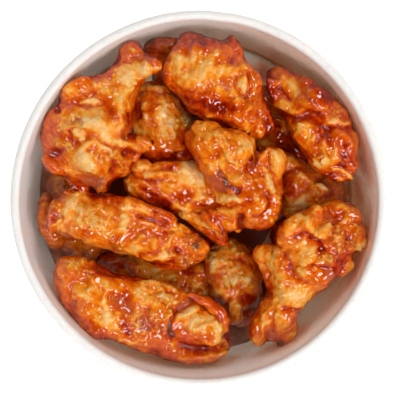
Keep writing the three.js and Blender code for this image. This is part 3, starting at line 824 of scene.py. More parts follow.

# The marks of each piece, feature by feature. Some tone marks paint shade and light, as noted where they
# stand.
MARKS = {}
MARKS["drumette_back_left"] = (
    # the piece as a whole
    paint(2.6, -0.35, (-33, 27)), paint(5, 0.25, (-46, 46), (-40, 44)),
    paint(4, 0.3, (-31, 61), (-26, 61)), paint(3, 0.3, (-60, 45), (-58, 46)),
    paint(3, 0.3, (-35, 23)), paint(5, -0.25, (-68, 38), (-60, 38)),
    paint(4, -0.25, (-60, 15), (-54, 6)), paint(2.5, -0.5, (-20, 63.6), (-17, 62)),
    paint(3, -0.35, (-34, 35), (-33, 28)),
    # the rough knob at the far end and the smooth golden lobe beside it
    paint(4, 0.3, (-48, 47), (-45, 49)), paint(3, -0.3, (-52, 57), (-47, 57)),
    crust(4, 0.9, (-31, 66), (-27, 64), (-23, 62)),
    paint(4.5, -0.4, (-32, 65), (-26, 65), (-22.5, 62.5)), paint(3, -0.45, (-36, 62), (-39, 57.5)),
    ridge(2.2, 0.9, (-30, 67), (-27, 65.5)), char(1.2, 0.8, (-22.5, 61.6)),
    beads(1.1, (-31, 64.5), (-31, 63), (-29, 66), (-27, 64.6)), paint(3, 0.15, (-18.5, 58)),
    ridge(4, 1, (-19, 58.5), (-23, 57)),
    # the pale neck
    crease(0.9, 0.9, (-36, 60), (-31, 60.8), (-25, 61.6)),
    paint(3.6, 0.75, (-24, 58), (-29, 56.5), (-34, 54.5)), ridge(3.6, 0.8, (-24, 57), (-34, 54.5)),
    beads(1, (-37.6, 55), (-36.2, 56.6), (-35.6, 55), (-33.6, 53.6), (-26.5, 54), (-24.2, 58.2)),
    beads(0.9, (-29, 51.6), (-30, 49.2), (-37.4, 52.4), (-37, 46.2), (-27.6, 53.2)),
    paint(3, 0.6, (-31, 53), (-33.5, 48), (-35, 43.5), (-34, 36), (-33.8, 32)),
    ridge(2.8, 1.1, (-31, 53), (-34, 47), (-35, 41), (-34, 33)), beads(1.6, (-35, 44)),
    paint(1.4, 0.5, (-30.6, 42), (-30.2, 39.6)),
    paint(2, -0.75, (-31.6, 37), (-32.6, 31), (-33.4, 27.6), (-29, 26.6)),
    crease(1.2, 1.2, (-31.2, 39), (-32.2, 32), (-33, 27)),
    # the left shoulder
    paint(3.6, -0.35, (-46, 46.5), (-41, 43), (-38.6, 37)),
    ridge(2.6, -0.8, (-45, 46.5), (-40.5, 43), (-38.4, 36)), paint(4, 0.45, (-58, 51), (-53.5, 50)),
    paint(3, 0.3, (-40, 50), (-42, 48)), paint(3, -0.5, (-51, 49), (-47, 47)),
    beads(1.6, (-46.3, 50.6)), beads(1.2, (-44, 50.4), (-52, 46), (-59.4, 43.4)),
    beads(0.8, (-53.4, 48), (-51.4, 47.6), (-44.4, 47.6), (-43, 47.6)),
    paint(2.4, -0.3, (-56, 54), (-46, 54.4), (-40, 56)),
    paint(3, -0.5, (-61, 44), (-55, 42.4), (-52, 44.6)), crease(1, 2, (-62.8, 45), (-62.6, 38.5)),
    # painted shade in the dark slit at the left edge
    paint(1.3, -1.2, (-62.8, 45), (-62.6, 39)),
    # the cream slit under the shoulder
    paint(0.9, 0.9, (-52, 42.8), (-47, 43.4), (-44.4, 43.6)),
    paint(1.7, 0.9, (-47.4, 43.6), (-45, 43.4)), ridge(1.6, 0.7, (-50.4, 43.2), (-44.4, 43.6)),
    crease(0.9, 0.9, (-53, 41.6), (-48, 41.6), (-43, 41)), meat(1.6, 0.6, (-52, 40.8), (-48, 41)),
    # the wide pale thigh
    ridge(3.4, 1, (-62, 36), (-55, 38), (-48, 36.4), (-42, 33)),
    paint(3.6, 0.5, (-60, 36.6), (-52, 37.6), (-46, 36)),
    paint(6.5, 0.75, (-46, 33.4), (-40.6, 30), (-38.4, 26.4)),
    paint(3, 0.35, (-41, 30.5), (-40.4, 26.6)), paint(5, -0.3, (-67, 38), (-68, 30), (-66, 23)),
    meat(4.5, 0.35, (-66, 38), (-67, 28)), paint(2.6, -0.25, (-53, 25), (-46, 28), (-44, 26)),
    # the small torn oval
    crease(0.8, 1, (-58, 30), (-54, 31.6), (-50, 30.8), (-48.8, 28), (-51, 25.4), (-55, 27), (-58, 30)),
    paint(1.8, 0.85, (-53.6, 29.6), (-51.4, 27.2)), ridge(2, 0.6, (-53.4, 29), (-51.4, 27.4)),
    beads(1.1, (-51.8, 26.2), (-48.8, 25.2)), crust(3.2, 0.9, (-60, 31.6), (-55, 33.4), (-51, 34)),
    paint(2, 0.55, (-60, 31.6), (-55, 33), (-51, 33.6)), meat(2, 0.6, (-58, 33.6), (-52, 34.4)),
    paint(2.2, -0.6, (-60.4, 27.6), (-56.4, 27.6)), char(1, 0.4, (-58.6, 27.2)),
    crust(3.6, 1.2, (-62.4, 25.4), (-57, 23)), paint(2.2, 0.35, (-62.6, 26), (-57, 22.6)),
    beads(0.9, (-63, 26.2), (-62, 24.6), (-57.4, 25), (-56.6, 22.6), (-58.4, 22.2)),
    # painted shade in the dark pit
    ridge(2.2, -1.1, (-63.6, 20.6), (-60.4, 21.4)), paint(1.9, -0.9, (-64, 20.4), (-60.4, 21.6)),
    char(1.3, 0.4, (-62, 21)),
    # the pale muscle below it and the wet skin to its right
    ridge(1.8, 0.9, (-48.4, 25.4), (-52.4, 22.2), (-51.4, 18)),
    paint(2.2, 0.8, (-50, 24), (-52.4, 21.6), (-51, 18), (-48, 15)),
    paint(4.2, 0.6, (-54, 17), (-47, 15.6)), ridge(4, 0.8, (-54, 17), (-47, 16)),
    crease(1, 1.3, (-44.4, 25.8), (-40.4, 23.4), (-35, 22.8), (-31, 22.2)),
    paint(1.4, -0.8, (-41, 23.6), (-33, 22.6)),
    ridge(1.6, 0.9, (-47, 25.6), (-43.4, 23.6), (-39.6, 21.8)),
    paint(1.4, 0.65, (-46.4, 25.2), (-43, 23), (-40, 22)),
    beads(1.2, (-43.2, 19.4), (-43, 17.2), (-40.6, 17.6), (-37, 20.6), (-33.6, 14.4)),
    beads(1.8, (-39, 20), (-35.8, 16)),
    beads(1, (-36.4, 21.6), (-33, 23), (-35, 23.4), (-31.4, 13), (-34.6, 15.4), (-29.6, 12)),
    crust(4, 0.8, (-36, 18), (-31, 14)), ridge(2, -1.4, (-37.4, 15), (-38, 12)),
    paint(2, -0.9, (-37, 16.4), (-38, 11.4)),
    # the flap that points at the middle, and the hole under it with painted shade in it
    ridge(2.8, 1.2, (-34, 24.4), (-28, 25.4), (-22, 25.4)), paint(2.4, 0.3, (-32, 25), (-24, 25.4)),
    beads(1, (-22.4, 22.4), (-28.8, 22.4), (-21, 23.8), (-24.6, 21)),
    ridge(2, -2, (-32, 20.6), (-29, 20)), paint(1.7, -1.1, (-32.2, 20.8), (-29, 20)),
    ridge(3, -2.2, (-19, 25.6), (-18, 24)), crease(1, 2, (-30, 13.6), (-28, 15.4)),
    # painted shade in the dark notch
    paint(1, -1.2, (-30, 13.6), (-28, 15.4)),
    # the lower edge with its browned knob
    ridge(2.4, 1.1, (-67, 16.6), (-60, 15), (-55, 12)), paint(2.6, -0.15, (-66, 16), (-58, 14)),
    crease(1.1, 1.1, (-62.4, 18.8), (-58, 17), (-55.4, 13.6)),
    paint(1.6, 0.45, (-57, 14.6), (-54.4, 12.4)), paint(1.6, 0.25, (-67.4, 14), (-67.2, 11)),
    crust(4.2, 1.2, (-50, 10), (-44.6, 8), (-43.4, 5)), meat(4, 0.8, (-49, 9), (-44.6, 7.4)),
    paint(3, -0.25, (-50, 9), (-45, 9)),
    beads(1, (-43.4, 10.6), (-44.2, 8), (-43.4, 6), (-47, 9), (-45, 5.4), (-47.4, 8)),
    paint(1.4, 0.7, (-43.6, 8.4), (-43.4, 5.4)), ridge(3.4, -6, (-36, 5.4), (-35.6, 3)),
    # painted shade: the deep dent at the lower edge is painted the deepest tone
    paint(3.6, -1.8, (-36, 5.6), (-35.8, 3)),
)
MARKS["flat_back"] = (
    # the piece as a whole
    paint(4, -0.3, (8, 44), (12, 46)), paint(3, -0.25, (17, 40), (18, 36)),
    # the first mark is painted shade in the gap under the lower left edge
    paint(3, -0.7, (-8, 42.6), (0, 37)), paint(3, -0.4, (-18, 62), (-16, 54)),
    paint(5, -0.3, (-10, 69), (0, 69), (6, 67)), paint(6, -0.2, (14, 56), (20, 52)),
    # the first mark is painted light, lifting the underside out of the shade between this piece and the
    # one below
    paint(3, 0.35, (0, 36), (12, 34)), paint(3, -0.5, (32, 37), (33, 29)),
    # dark skin along the far edge
    paint(5, -0.35, (-12, 66), (-6, 68), (2, 68)), paint(3.5, -0.3, (25, 57), (27, 50)),
    paint(3, -0.2, (8, 46), (14, 44)), paint(4, -0.6, (-8, 72.6), (0, 72.4), (5, 69.6), (12, 70)),
    meat(3.4, 0.5, (-8, 70), (-2, 72)), paint(2.8, -0.35, (14.4, 71), (18, 67.6), (20, 63)),
    paint(2.6, -0.5, (-15, 65), (-15.6, 56), (-12.4, 50)), meat(2.6, 0.5, (-13.4, 65), (-14.4, 57)),
    # the pale slab
    paint(6, 0.45, (-10, 60), (-2, 60), (7, 62)), paint(5, 0.45, (-7, 54), (2, 54), (9, 54)),
    paint(3, 0.35, (-8, 61.6)), paint(2.4, 0.3, (-4, 53), (1.4, 51.4)),
    paint(2.4, 0.35, (3.6, 60.4), (8, 65)), paint(3.4, 0.3, (13, 57), (18, 59)),
    ridge(1.2, 0.5, (-3.4, 61), (-1, 68)), ridge(1.2, 0.4, (1.8, 63), (4, 69)),
    ridge(1.4, 0.4, (6, 64), (11, 66)), ridge(3.4, 0.9, (-9, 60.6), (-8, 54)),
    ridge(4, 0.8, (2, 56), (7, 60)), ridge(2.4, -0.8, (-5.6, 64), (-5, 57)),
    ridge(2, -0.5, (-4, 58.6), (0, 57.4)), ridge(2.6, -0.7, (9, 61), (14, 61)),
    paint(3, -0.7, (9, 61.6), (12, 61.2), (15, 61.4)), ridge(3, 0.8, (17, 58), (20, 58)),
    meat(2.2, 0.5, (11, 52.6), (13, 48.6)), paint(2.6, -0.25, (11.4, 52), (13, 50)),
    crease(0.8, 0.7, (9.6, 50.4), (12, 50.6), (13.6, 48)), char(0.8, 0.55, (12, 47.4)),
    char(0.7, 0.6, (16.4, 54.6)), paint(2.8, 0.55, (10, 48), (13.4, 45.4), (17, 44.6)),
    # the bulge and the lumps at the right
    ridge(2.2, 1, (19, 53), (19.8, 49)), paint(1.9, 0.95, (19.4, 52), (19.4, 49)),
    crease(0.9, 1, (16.4, 53.4), (17, 49), (19, 46)),
    crease(0.9, 0.9, (21.6, 55), (22, 50), (21, 46)), ridge(1.9, 1, (23, 56.4)),
    ridge(2.2, 1.1, (24.6, 52), (24.4, 48)), paint(2.6, -0.05, (24, 54), (25, 48)),
    beads(1.1, (24.6, 57.4), (22.4, 56), (26.4, 51)), beads(0.9, (20, 47), (25.6, 54.6)),
    # the saucy underside, its dark band sauce and painted shade under the slab's edge
    lap(2, 0.9, (19, 44.6), (13, 43.4), (7, 45.6), (0, 46.4), (-9, 48.6)),
    paint(2.8, -0.95, (-8, 46.4), (0, 44.4), (8, 42.6), (14, 41.4)),
    paint(2.2, 0.15, (5, 43.2), (8.4, 42.4)), beads(0.8, (4, 41), (6, 41.2)),
    paint(2.6, -0.7, (4, 40), (10, 39.4)), char(1.6, 0.4, (8, 39)),
    ridge(2, 1.3, (3, 36.8), (9, 38.2)), paint(1.8, 0.25, (4, 37.2), (7.4, 38)),
    paint(2.4, -1, (7.4, 35.6), (13, 34.6)), ridge(2.8, 1.4, (15, 37), (19, 33.6)),
    paint(2.2, 0.05, (16, 36), (19, 34)), beads(1.1, (16.2, 39.2)),
    ridge(0.8, 0.8, (13, 32.8), (17.4, 31.5)),
    # the glossy knob with its coil
    crust(3, 1.1, (21.6, 44), (27, 44.4), (28.4, 40)), paint(5.5, -0.4, (24, 42), (28, 38), (28.6, 30)),
    ridge(1.4, 1.1, (22.8, 41.2), (20.8, 39.4), (20.6, 36.6), (21.6, 34.6)),
    ridge(1.1, 0.9, (25.4, 35.8), (28.2, 33.6), (28.8, 30.4), (27.4, 28), (25.4, 27.6)),
    crease(0.9, 1, (26.6, 37.6), (30.2, 34), (30.8, 29.6), (28.6, 26.2)),
    ridge(1, 0.7, (25.6, 33), (27, 31.2), (26.6, 29.6)),
    beads(1.4, (24.6, 35.4), (28.6, 36.2), (23.4, 28.6), (22.4, 40)),
    beads(1.1, (21.4, 30.6), (26, 31), (27.2, 30)), paint(1.9, 0.75, (21.6, 30.8), (23.8, 29)),
    ridge(0.8, 0.7, (30.6, 38.4), (31, 34.6), (32.2, 31.6)), paint(2, -0.3, (31, 36), (31.6, 31)),
)
MARKS["drumette_back_right"] = (
    # the piece as a whole
    paint(3, -0.35, (59, 11), (66, 14)), paint(3, 0.3, (38, 33), (41, 36)),
    paint(4, 0.45, (44, 48), (47.5, 45)), ridge(4, 1.6, (49, 43.6), (55, 44.6)),
    paint(3, -0.45, (56, 26), (64, 22)), paint(3.2, -0.45, (58, 10.4), (66, 20)),
    paint(2.6, 0.4, (52, 15), (58, 13.6)), paint(2, 0.55, (62, 10.6)),
    paint(3, -0.35, (30, 50), (31, 45)), paint(14, 0.15, (40, 48), (56, 42), (62, 26)),
    paint(2.6, 0.3, (34, 52), (38, 52)), paint(3.5, -0.35, (40, 56), (50, 52), (57, 46)),
    paint(4, -0.35, (50, 51), (57, 45)), paint(3, -0.45, (60, 9), (68, 9.6)),
    paint(3, -0.35, (43, 26)), ridge(4, 1.8, (44, 54), (50, 50.6)),
    paint(3, -0.45, (40, 55), (48, 52.4), (57, 46)),
    # the red hollow at its far end
    paint(3.4, -0.75, (31, 55), (30.4, 50), (33, 45.6)), paint(2.4, -0.45, (37, 49.6), (40, 45.4)),
    char(0.7, 0.8, (32.6, 46.4)), beads(1.7, (35.4, 51.5)), beads(0.9, (28.8, 54), (31, 52.6)),
    # lengthwise folds
    ridge(2.8, 1.1, (37, 56), (40, 51.4), (43, 47.6), (45, 44)),
    paint(2.8, 0.6, (39, 53), (41, 50), (43.6, 46.6)),
    paint(2.8, 0.15, (43, 54.6), (49, 50), (55, 46.4)), ridge(2.4, 0.7, (44, 52.6), (53, 47)),
    crease(1, 0.8, (42, 53.4), (46, 48.4), (49, 45)), crease(1.1, 1, (35.4, 50), (39, 46), (41, 43.6)),
    ridge(2.4, 1.1, (34.6, 43), (38, 41.4), (44, 40.4)), paint(2, 0.6, (35.6, 42), (41.4, 41)),
    ridge(1.2, 0.9, (41.6, 38.4), (45, 37.5), (47, 39.4)),
    paint(1.2, 0.65, (42, 38.4), (45, 37.5), (46.8, 39.4)),
    crease(1.2, 1.2, (36, 38.6), (41.6, 36.6), (47, 36.2)),
    paint(2.2, -0.8, (36.6, 39), (42, 36), (47.4, 36.4)),
    # the smooth red saucy back
    paint(4.2, -0.5, (50, 39.4), (53, 36), (57, 31), (58, 27.4)),
    ridge(3.4, -0.8, (50, 37.6), (56, 32)), ridge(1.7, 0.8, (50, 42), (53, 40.9), (56.6, 41.8)),
    ridge(3, 1, (49.5, 41.6), (55.5, 40.6)), paint(4.6, -0.3, (50, 43), (57, 41)),
    paint(4, -0.1, (61, 41), (65.6, 37.6)), paint(2.6, 0.35, (60, 38.6), (62, 37)),
    crease(1, 0.9, (57, 42.6), (59.6, 39.4), (57.6, 36.6)),
    beads(1.1, (60.6, 39), (62, 38.6), (57.2, 37.4), (66.4, 34), (55, 38.6)),
    ridge(1.9, 1.2, (56, 36), (60, 34.4), (65, 33.2)), paint(1.7, 0.85, (58, 34.9), (64, 33.6)),
    crease(1.1, 1.3, (57, 31.8), (62, 31.4), (67, 31.8)),
    paint(1.6, -0.5, (57, 31.4), (66.4, 31.2)), ridge(4.2, 1.2, (62, 28), (68, 27)),
    beads(1.1, (64.6, 30.3)),
    # the coil in its side
    ridge(4.2, 1.4, (46.6, 31.4), (49.4, 28.4)),
    crease(1, 1.1, (49.4, 35), (53.6, 31.8), (54.4, 28.6), (51.6, 24.6)),
    paint(2.8, 0.45, (46.6, 31), (49.4, 28.4)), crust(3.2, 1, (43.6, 33), (43.6, 29)),
    ridge(1.4, 1.4, (54.6, 30.6), (53.6, 28.4), (51.2, 26.2)),
    beads(1, (47.6, 34.4), (46.6, 33.2), (52.8, 31.6)), beads(1.4, (56.2, 26)),
    ridge(1.7, 1.6, (60.2, 25), (60.4, 22.4), (60.6, 20), (62.2, 17.6)),
    ridge(2.8, 1.1, (55, 24), (57, 20)), paint(2.2, 0.55, (56, 23.4), (56.8, 20.6)),
    ridge(1.8, 0.9, (52, 23.2)), crease(0.9, 0.9, (53.4, 25), (53.4, 20.6)),
    crust(2.6, 1.1, (51.6, 18.6), (55, 18.6)),
    beads(1, (52, 18), (54, 19), (55.2, 18), (67.2, 21), (67, 23.4), (65, 21.6)),
    beads(1.6, (66, 17.4)), ridge(2.6, 0.9, (67, 22.4)), paint(2, -0.55, (63, 16.2)),
    meat(1.6, 0.6, (64, 16)),
    # the cut bone end
    ridge(1.9, 1, (52.6, 16.2), (60, 16.8)), paint(1.8, 0.85, (54.4, 16.2), (60.4, 16.8)),
    ridge(2.2, -1.6, (54, 11.8), (60, 11), (64.6, 11)),
    paint(2.4, 0.25, (54, 11.8), (60, 11), (64.4, 10.8)), paint(1.4, -0.5, (54, 9.4), (58, 8.6)),
    ridge(0.9, 1.2, (60, 13.4), (63.5, 12.8), (66.4, 11.2), (67.6, 9.8)),
    # painted highlights: the bright crescent on the cut bone's rim, and the streak along its lower rim
    paint(1, 1.2, (60.4, 13.2), (63.5, 12.7), (66.4, 11.1), (67.4, 10)),
    paint(0.8, 0.9, (62, 8.3), (65.4, 8.3)), paint(1.5, 0.6, (49, 16), (49.6, 12.8)),
    char(0.9, 0.8, (52.2, 14)), char(0.9, 0.7, (50.4, 11)), beads(1.1, (45.6, 21.6)),
    ridge(3, 0.9, (70.6, 15)), paint(2.4, -0.15, (70.4, 15)),
)
MARKS["drumette_centre"] = (
    # the piece as a whole
    paint(2.4, 0.1, (3, -6), (8, -9), (13, -13)), paint(3, -0.35, (22, 13), (28, 13)),
    paint(2.6, -0.4, (35, -2), (36.6, -5)), paint(5, -0.2, (22, -8), (30, -8)),
    # the smooth golden thigh
    paint(4, 0.25, (12, 17), (18, 16)), paint(3.2, 0.6, (6, 1), (9, -1)),
    # the first mark is painted shade in the gap below the flat piece's end
    paint(2.4, -0.6, (2, -14), (6, -19)), paint(8, 0.32, (2, 28), (10, 26), (18, 24)),
    paint(2.8, -0.35, (-4.4, 29), (-3, 22.6), (0, 18)), paint(3.6, 0.4, (19, 23.4), (23.6, 23)),
    paint(3, 0.25, (1, 31), (7, 32)), ridge(7, 0.9, (3, 27), (16, 24.6)),
    ridge(2, -0.4, (5, 29), (6, 24)), ridge(2, -0.4, (13, 28.6), (14, 24)),
    paint(1.8, -0.6, (8.4, 20.6), (6.4, 18.6)), crease(0.8, 0.7, (8.6, 21), (6.4, 18)),
    paint(3, 0.35, (5.6, 16), (9.4, 15)), meat(2, 0.4, (9.6, 19.6), (12, 22)),
    ridge(1.2, 0.9, (13, 20.4), (13.6, 17.4), (15.4, 16.8)),
    beads(1.1, (13, 20), (13.6, 17.4), (15.4, 17), (16, 15.4), (17, 15), (19.6, 13.2)),
    beads(1.4, (17.6, 21), (18.4, 22.2)),
    # the fold where the thigh ends
    crease(1.2, 1.3, (27, 21.4), (24, 18), (21, 15)), paint(2.4, -0.5, (24.4, 18), (23, 14)),
    meat(2.2, 0.5, (25, 15), (22, 13.6)), ridge(2.2, 1, (27.6, 18.6)), paint(2, -0.1, (27.6, 18.6)),
    # the golden lobe at its right
    ridge(3.8, 1, (35, 20), (34, 14)), paint(3.8, 0.5, (34.4, 19), (33.8, 14)),
    crease(1.2, 1.3, (30.8, 21), (30.6, 15), (33, 10)), paint(1, -0.4, (30.6, 19), (30.8, 14)),
    # the pale ridge that runs down from the lobe
    ridge(1.6, 1.1, (28.6, 13), (30.6, 10), (31, 6), (32.4, 3.4)),
    paint(1.5, 0.9, (28.6, 13), (30.6, 10), (31, 6), (32.2, 4)),
    beads(1.1, (31, 5.6), (34, -1.6), (36.6, 3.4)), beads(1.5, (32.2, 3.6)),
    # the bare patch
    meat(2.7, 1.2, (7, 8.6), (9.6, 7.2), (11.6, 5.2), (8, 5.6)), paint(3, -0.25, (7, 8), (10, 6.4)),
    ridge(3.6, -0.5, (7.6, 8), (10.4, 6)), char(1.9, 0.8, (8.4, 12.4), (9.6, 10.6), (11, 9.4), (13, 6)),
    crease(0.9, 1.2, (9, 12.6), (11.6, 9), (13.6, 6), (17, 4)),
    ridge(1, 0.8, (11.6, 8.6), (12.6, 6.6)), ridge(1.1, 0.9, (11.2, 4.4), (14.6, 3.7)),
    paint(1.1, -1, (14, 4.6), (17, 3.8)), crease(1, 1.1, (6, 4.6), (10, 3), (16, 2.6)),
    # pale crumbly skin to its right
    paint(4, 0.4, (16.6, 9), (22, 8)), crust(3.2, 0.6, (18, 10), (24, 9)),
    ridge(2.4, 0.6, (16, 8), (20, 7.4)),
    # the rolled lip below the patch
    ridge(2, 1.3, (8, -0.4), (13, 1), (18, -0.4)), paint(1.9, 1, (13.6, 1.3), (18.4, 0.2)),
    paint(1.3, 0.8, (7.4, 2.4), (8.6, -0.6)), beads(1.5, (14.2, 0.9), (16, 0.9)),
    crease(1, 1.1, (10, -2.7), (14, -3.2), (18, -2.8)), paint(1, -0.5, (9, -2.9), (14, -3.6)),
    beads(0.9, (13, -2.4), (11, -2), (14.6, -2.2), (17.8, -1.6)),
    paint(3, -0.45, (19.6, 2.6), (21.4, -0.6), (23, -2.4)),
    # the coil beside it
    ridge(3.8, 1.3, (24.6, -1), (27, -3.8)), paint(2.8, 0.5, (26, -2.8), (23.6, -4)),
    crease(0.9, 1.1, (30.6, 2.4), (31, -2), (29, -5.6), (23.6, -6.4)),
    paint(0.9, -0.6, (30.8, 1), (30.4, -3.6), (26, -6.2)), beads(1.2, (27, 3.4), (24.4, 0)),
    beads(0.9, (26.6, 1.6), (28, 0), (28.6, -1.2), (26, 0)), paint(2, 0.2, (33.4, 0.6), (35, -3)),
    ridge(1.8, 0.7, (33.4, 1), (34.6, -4)), beads(0.8, (33, -4), (35, -2.4), (34.4, 0.8)),
    # the lump at its foot and the pit beside it
    ridge(4, 1.5, (22.4, -9), (30.6, -9)), paint(3.4, -0.2, (22, -9), (32, -9.4)),
    crust(3.2, 0.7, (24, -10), (33, -8)),
    beads(1, (27, -7.6), (31, -8), (33.2, -7.6), (30, -12), (29.4, -13)),
    ridge(2, -1.8, (18.4, -8), (18.4, -11.6)), paint(2.1, -1.1, (18.5, -8.4), (18.4, -11.4)),
    # the flap at its lower left
    ridge(2, 1, (8, -5), (16.4, -5)), paint(1.9, 0.55, (8.6, -5), (16, -5)),
    paint(1.9, -0.75, (9.6, -7.6), (7.4, -8.2)), ridge(2.4, 0.9, (10, -11), (15.4, -11)),
    paint(2.4, 0.15, (10, -10), (15, -11)), ridge(2.4, 1, (-8, -6.2), (0, -9), (8, -15)),
    paint(2, 0.4, (-8, -5.6), (0, -9), (6, -13.4)),
    crease(0.9, 0.8, (-2, -11), (4, -13), (9, -17.6)), paint(2, -0.35, (8, -16.6), (12, -18)),
    crease(1, 1.2, (2, -4.4), (7, -8.4), (11, -14)), paint(1, -0.5, (3, -6), (8, -10.6), (11, -14)),
    paint(1.4, -0.6, (14, -14.4), (13, -18)),
)
MARKS["drumette_front_right"] = (
    # the piece as a whole
    paint(2.6, -0.3, (55.5, -17)), paint(3, -0.3, (53, -34), (58, -33.4)),
    paint(3, -0.25, (42, -19)), paint(3.4, 0.45, (38, -22.6), (36, -26)),
    ridge(3.6, 1.6, (37.6, -22), (36, -27)), paint(3.2, -0.55, (63.6, -3.6), (67, -7)),
    paint(2.2, -0.6, (29.6, -34), (31, -43)), paint(2.6, 0.3, (29, -32), (31, -35)),
    paint(4, 0.25, (36, -48), (33, -55)), ridge(3, 1.4, (71, -7), (72.6, -11)),
    paint(2.6, 0.35, (28, -24), (31, -34)), paint(5, -0.25, (60, -28), (66, -34)),
    paint(4, -0.3, (52, -34), (57, -32)),
    # folds at the top left
    ridge(2.4, 1.3, (38.6, -14), (41.6, -10), (46, -8.4), (48.4, -12), (52, -15.6)),
    paint(2.4, 0.6, (41, -12.6), (44, -9), (47.4, -10.4)),
    paint(2, 0.5, (41, -16.4), (43.4, -14.6)), paint(2, 0.25, (48.6, -12), (51.6, -14.6)),
    crease(1.2, 1.6, (42, -17), (46.6, -14.6), (51, -17), (54.4, -18.4)),
    paint(1.8, -0.75, (43.6, -16), (47, -14.8), (51, -17), (54, -19), (55, -23)),
    paint(3.8, 0.4, (29, -22.4), (34, -23)),
    # the smooth round muscle in the middle
    ridge(5.6, 1.6, (45.6, -20), (47.4, -25.4)), paint(5, 0.35, (45, -20), (50, -22), (46, -27)),
    paint(1.9, 0.6, (50.6, -23.4)), meat(2.6, 0.4, (40.6, -24), (42, -27)),
    crease(1.4, 1.3, (37, -21), (40, -27), (42, -32), (46, -36)),
    paint(1.9, -0.45, (37, -21.6), (40, -27.6), (42.4, -32), (46, -36)),
    # the muscle below it
    ridge(4.8, 1.3, (46, -32), (54.6, -36)), paint(4.8, 0.35, (47, -32), (52, -34), (56, -37)),
    crease(1, 1.2, (44, -29.4), (49, -29.8), (55, -29.6), (58, -32)),
    paint(1, -0.4, (49, -29.8), (57, -30)), beads(1.4, (52.4, -31)), paint(2.4, -0.4, (59, -33.4)),
    meat(2.4, 0.9, (58, -33), (60, -36)),
    # the neck
    ridge(2.4, 1, (32, -26), (35, -32), (39.6, -39)), paint(2.6, 0.5, (34, -30), (36.4, -35)),
    crease(1, 0.9, (29.6, -29), (31.4, -35), (32, -42)),
    paint(1.6, -0.45, (29.6, -30), (31.6, -37), (32, -43)), ridge(6, 1.1, (40, -43), (46, -43.4)),
    paint(6, 0.75, (38, -42), (43, -42), (46.6, -44)),
    paint(2.4, 0.3, (38.4, -42), (42, -43), (46, -43)),
    beads(1.2, (37.8, -37), (36.8, -38), (38.6, -43)), ridge(1, 0.8, (36.2, -47.6), (35.5, -51)),
    paint(2.4, -0.25, (37.4, -49), (38, -51)),
    crease(1.4, 1.4, (37.6, -48.4), (42, -48.6), (45.4, -49.6)),
    paint(1.8, -0.5, (39, -48.6), (45, -49.6)), crust(2, 0.9, (29, -45.6), (29.6, -50)),
    paint(1.4, 0.3, (29, -45), (29.6, -49)),
    # the two knobs at its foot
    ridge(4.8, 1.5, (40, -54), (39.6, -59)), paint(2.4, 0.45, (37, -53), (36.6, -56)),
    paint(1.6, 0.35, (38.4, -60.6), (42, -60.4)), paint(2.6, -0.2, (41, -54.4)),
    ridge(3.4, 1.4, (27, -57), (26.4, -61)), paint(3.4, -0.45, (24.6, -55.4), (27, -59.6)),
    paint(1.5, 0.45, (25.8, -62.2)), paint(1.6, 0.4, (27, -54)),
    ridge(1.5, 1.1, (29.4, -51), (30.2, -54)), ridge(0.9, 0.8, (29.4, -55.6), (28, -60.4)),
    beads(1, (25, -58.6), (26.4, -56.4), (24.4, -57)),
    crease(1.2, 1.6, (32.4, -53), (33, -58), (30.6, -62.6)), paint(2.8, -0.4, (33, -59), (35, -61)),
    meat(3, 0.6, (33, -59), (32, -62)), char(2.4, 0.9, (31.6, -65), (36, -63.6)),
    paint(2.2, -0.7, (31, -65), (36, -64)),
    # the crumbly shoulder
    ridge(2, 1.2, (52, -4), (57, -2.6), (62, -2.8), (66, -5.2)),
    paint(2, 0.5, (52.6, -4), (57, -3)), paint(1.5, 0.6, (57.6, -2.2), (62.6, -2.8), (66, -5)),
    ridge(3, -0.8, (55, -8), (60, -8)), meat(2, 0.7, (57, -8), (60.4, -9.6)),
    paint(2.2, -0.4, (56.6, -8), (60.4, -9)), ridge(3, 1.4, (57, -12.6), (54.4, -16)),
    paint(2.5, 0.65, (57, -12.8), (54.4, -16)),
    crease(1, 1.2, (60, -10.4), (60.4, -15), (56, -18.8)), beads(1.4, (61.4, -12), (59, -11.6)),
    beads(1, (63, -10.4), (64, -10), (60, -14), (59, -15), (60.6, -16.4)),
    ridge(4, 1.3, (68.4, -9), (70.6, -13)), paint(3, -0.1, (67.4, -9), (71, -13)),
    crust(3.6, 0.8, (67, -8), (70, -14)), beads(1.5, (71.6, -11.4)),
    beads(1, (72.6, -13.4), (68.6, -12.4), (66.4, -10)),
    crust(4.2, 1.3, (62, -17), (66, -18), (62.4, -23)), ridge(2.4, 0.9, (62, -17)),
    paint(2.2, 0.3, (62, -17), (63, -21)), beads(1.4, (61.8, -20), (62.4, -22.6), (63, -24.2)),
    beads(1, (66, -19), (67.6, -17), (64.8, -16.4), (58.6, -21), (59, -19.4), (63.6, -15.4), (68, -19.6)),
    ridge(1.4, -1.2, (66, -16.8)), paint(1.3, -0.9, (66, -16.8)),
    paint(2.2, -0.6, (65, -21), (66.6, -23)), ridge(2, 1.6, (67, -22), (74, -19.4)),
    paint(1.7, 0.7, (68, -22), (73.4, -19.8)), beads(1.6, (69.4, -21.4), (70.4, -21.2)),
    crust(3, 1.2, (56, -25.6), (60, -27.2)), ridge(2.6, 0.8, (56, -26), (60, -27.4)),
    paint(2.4, 0.75, (56, -25.6), (59.4, -28)),
    beads(1.3, (56, -24.6), (58.6, -27.4), (61.6, -26.2), (62.6, -25.4), (57, -27.2)),
    paint(2.4, -0.9, (62, -28), (62.6, -30.6)), ridge(2, 1.2, (63, -33), (67, -29)),
    paint(1.8, 0.65, (63.6, -32.2), (67, -29.4)), paint(2, -0.6, (53.6, -19.6), (54.4, -24.4)),
    paint(2.4, -0.3, (60, -37), (57, -41)),
)
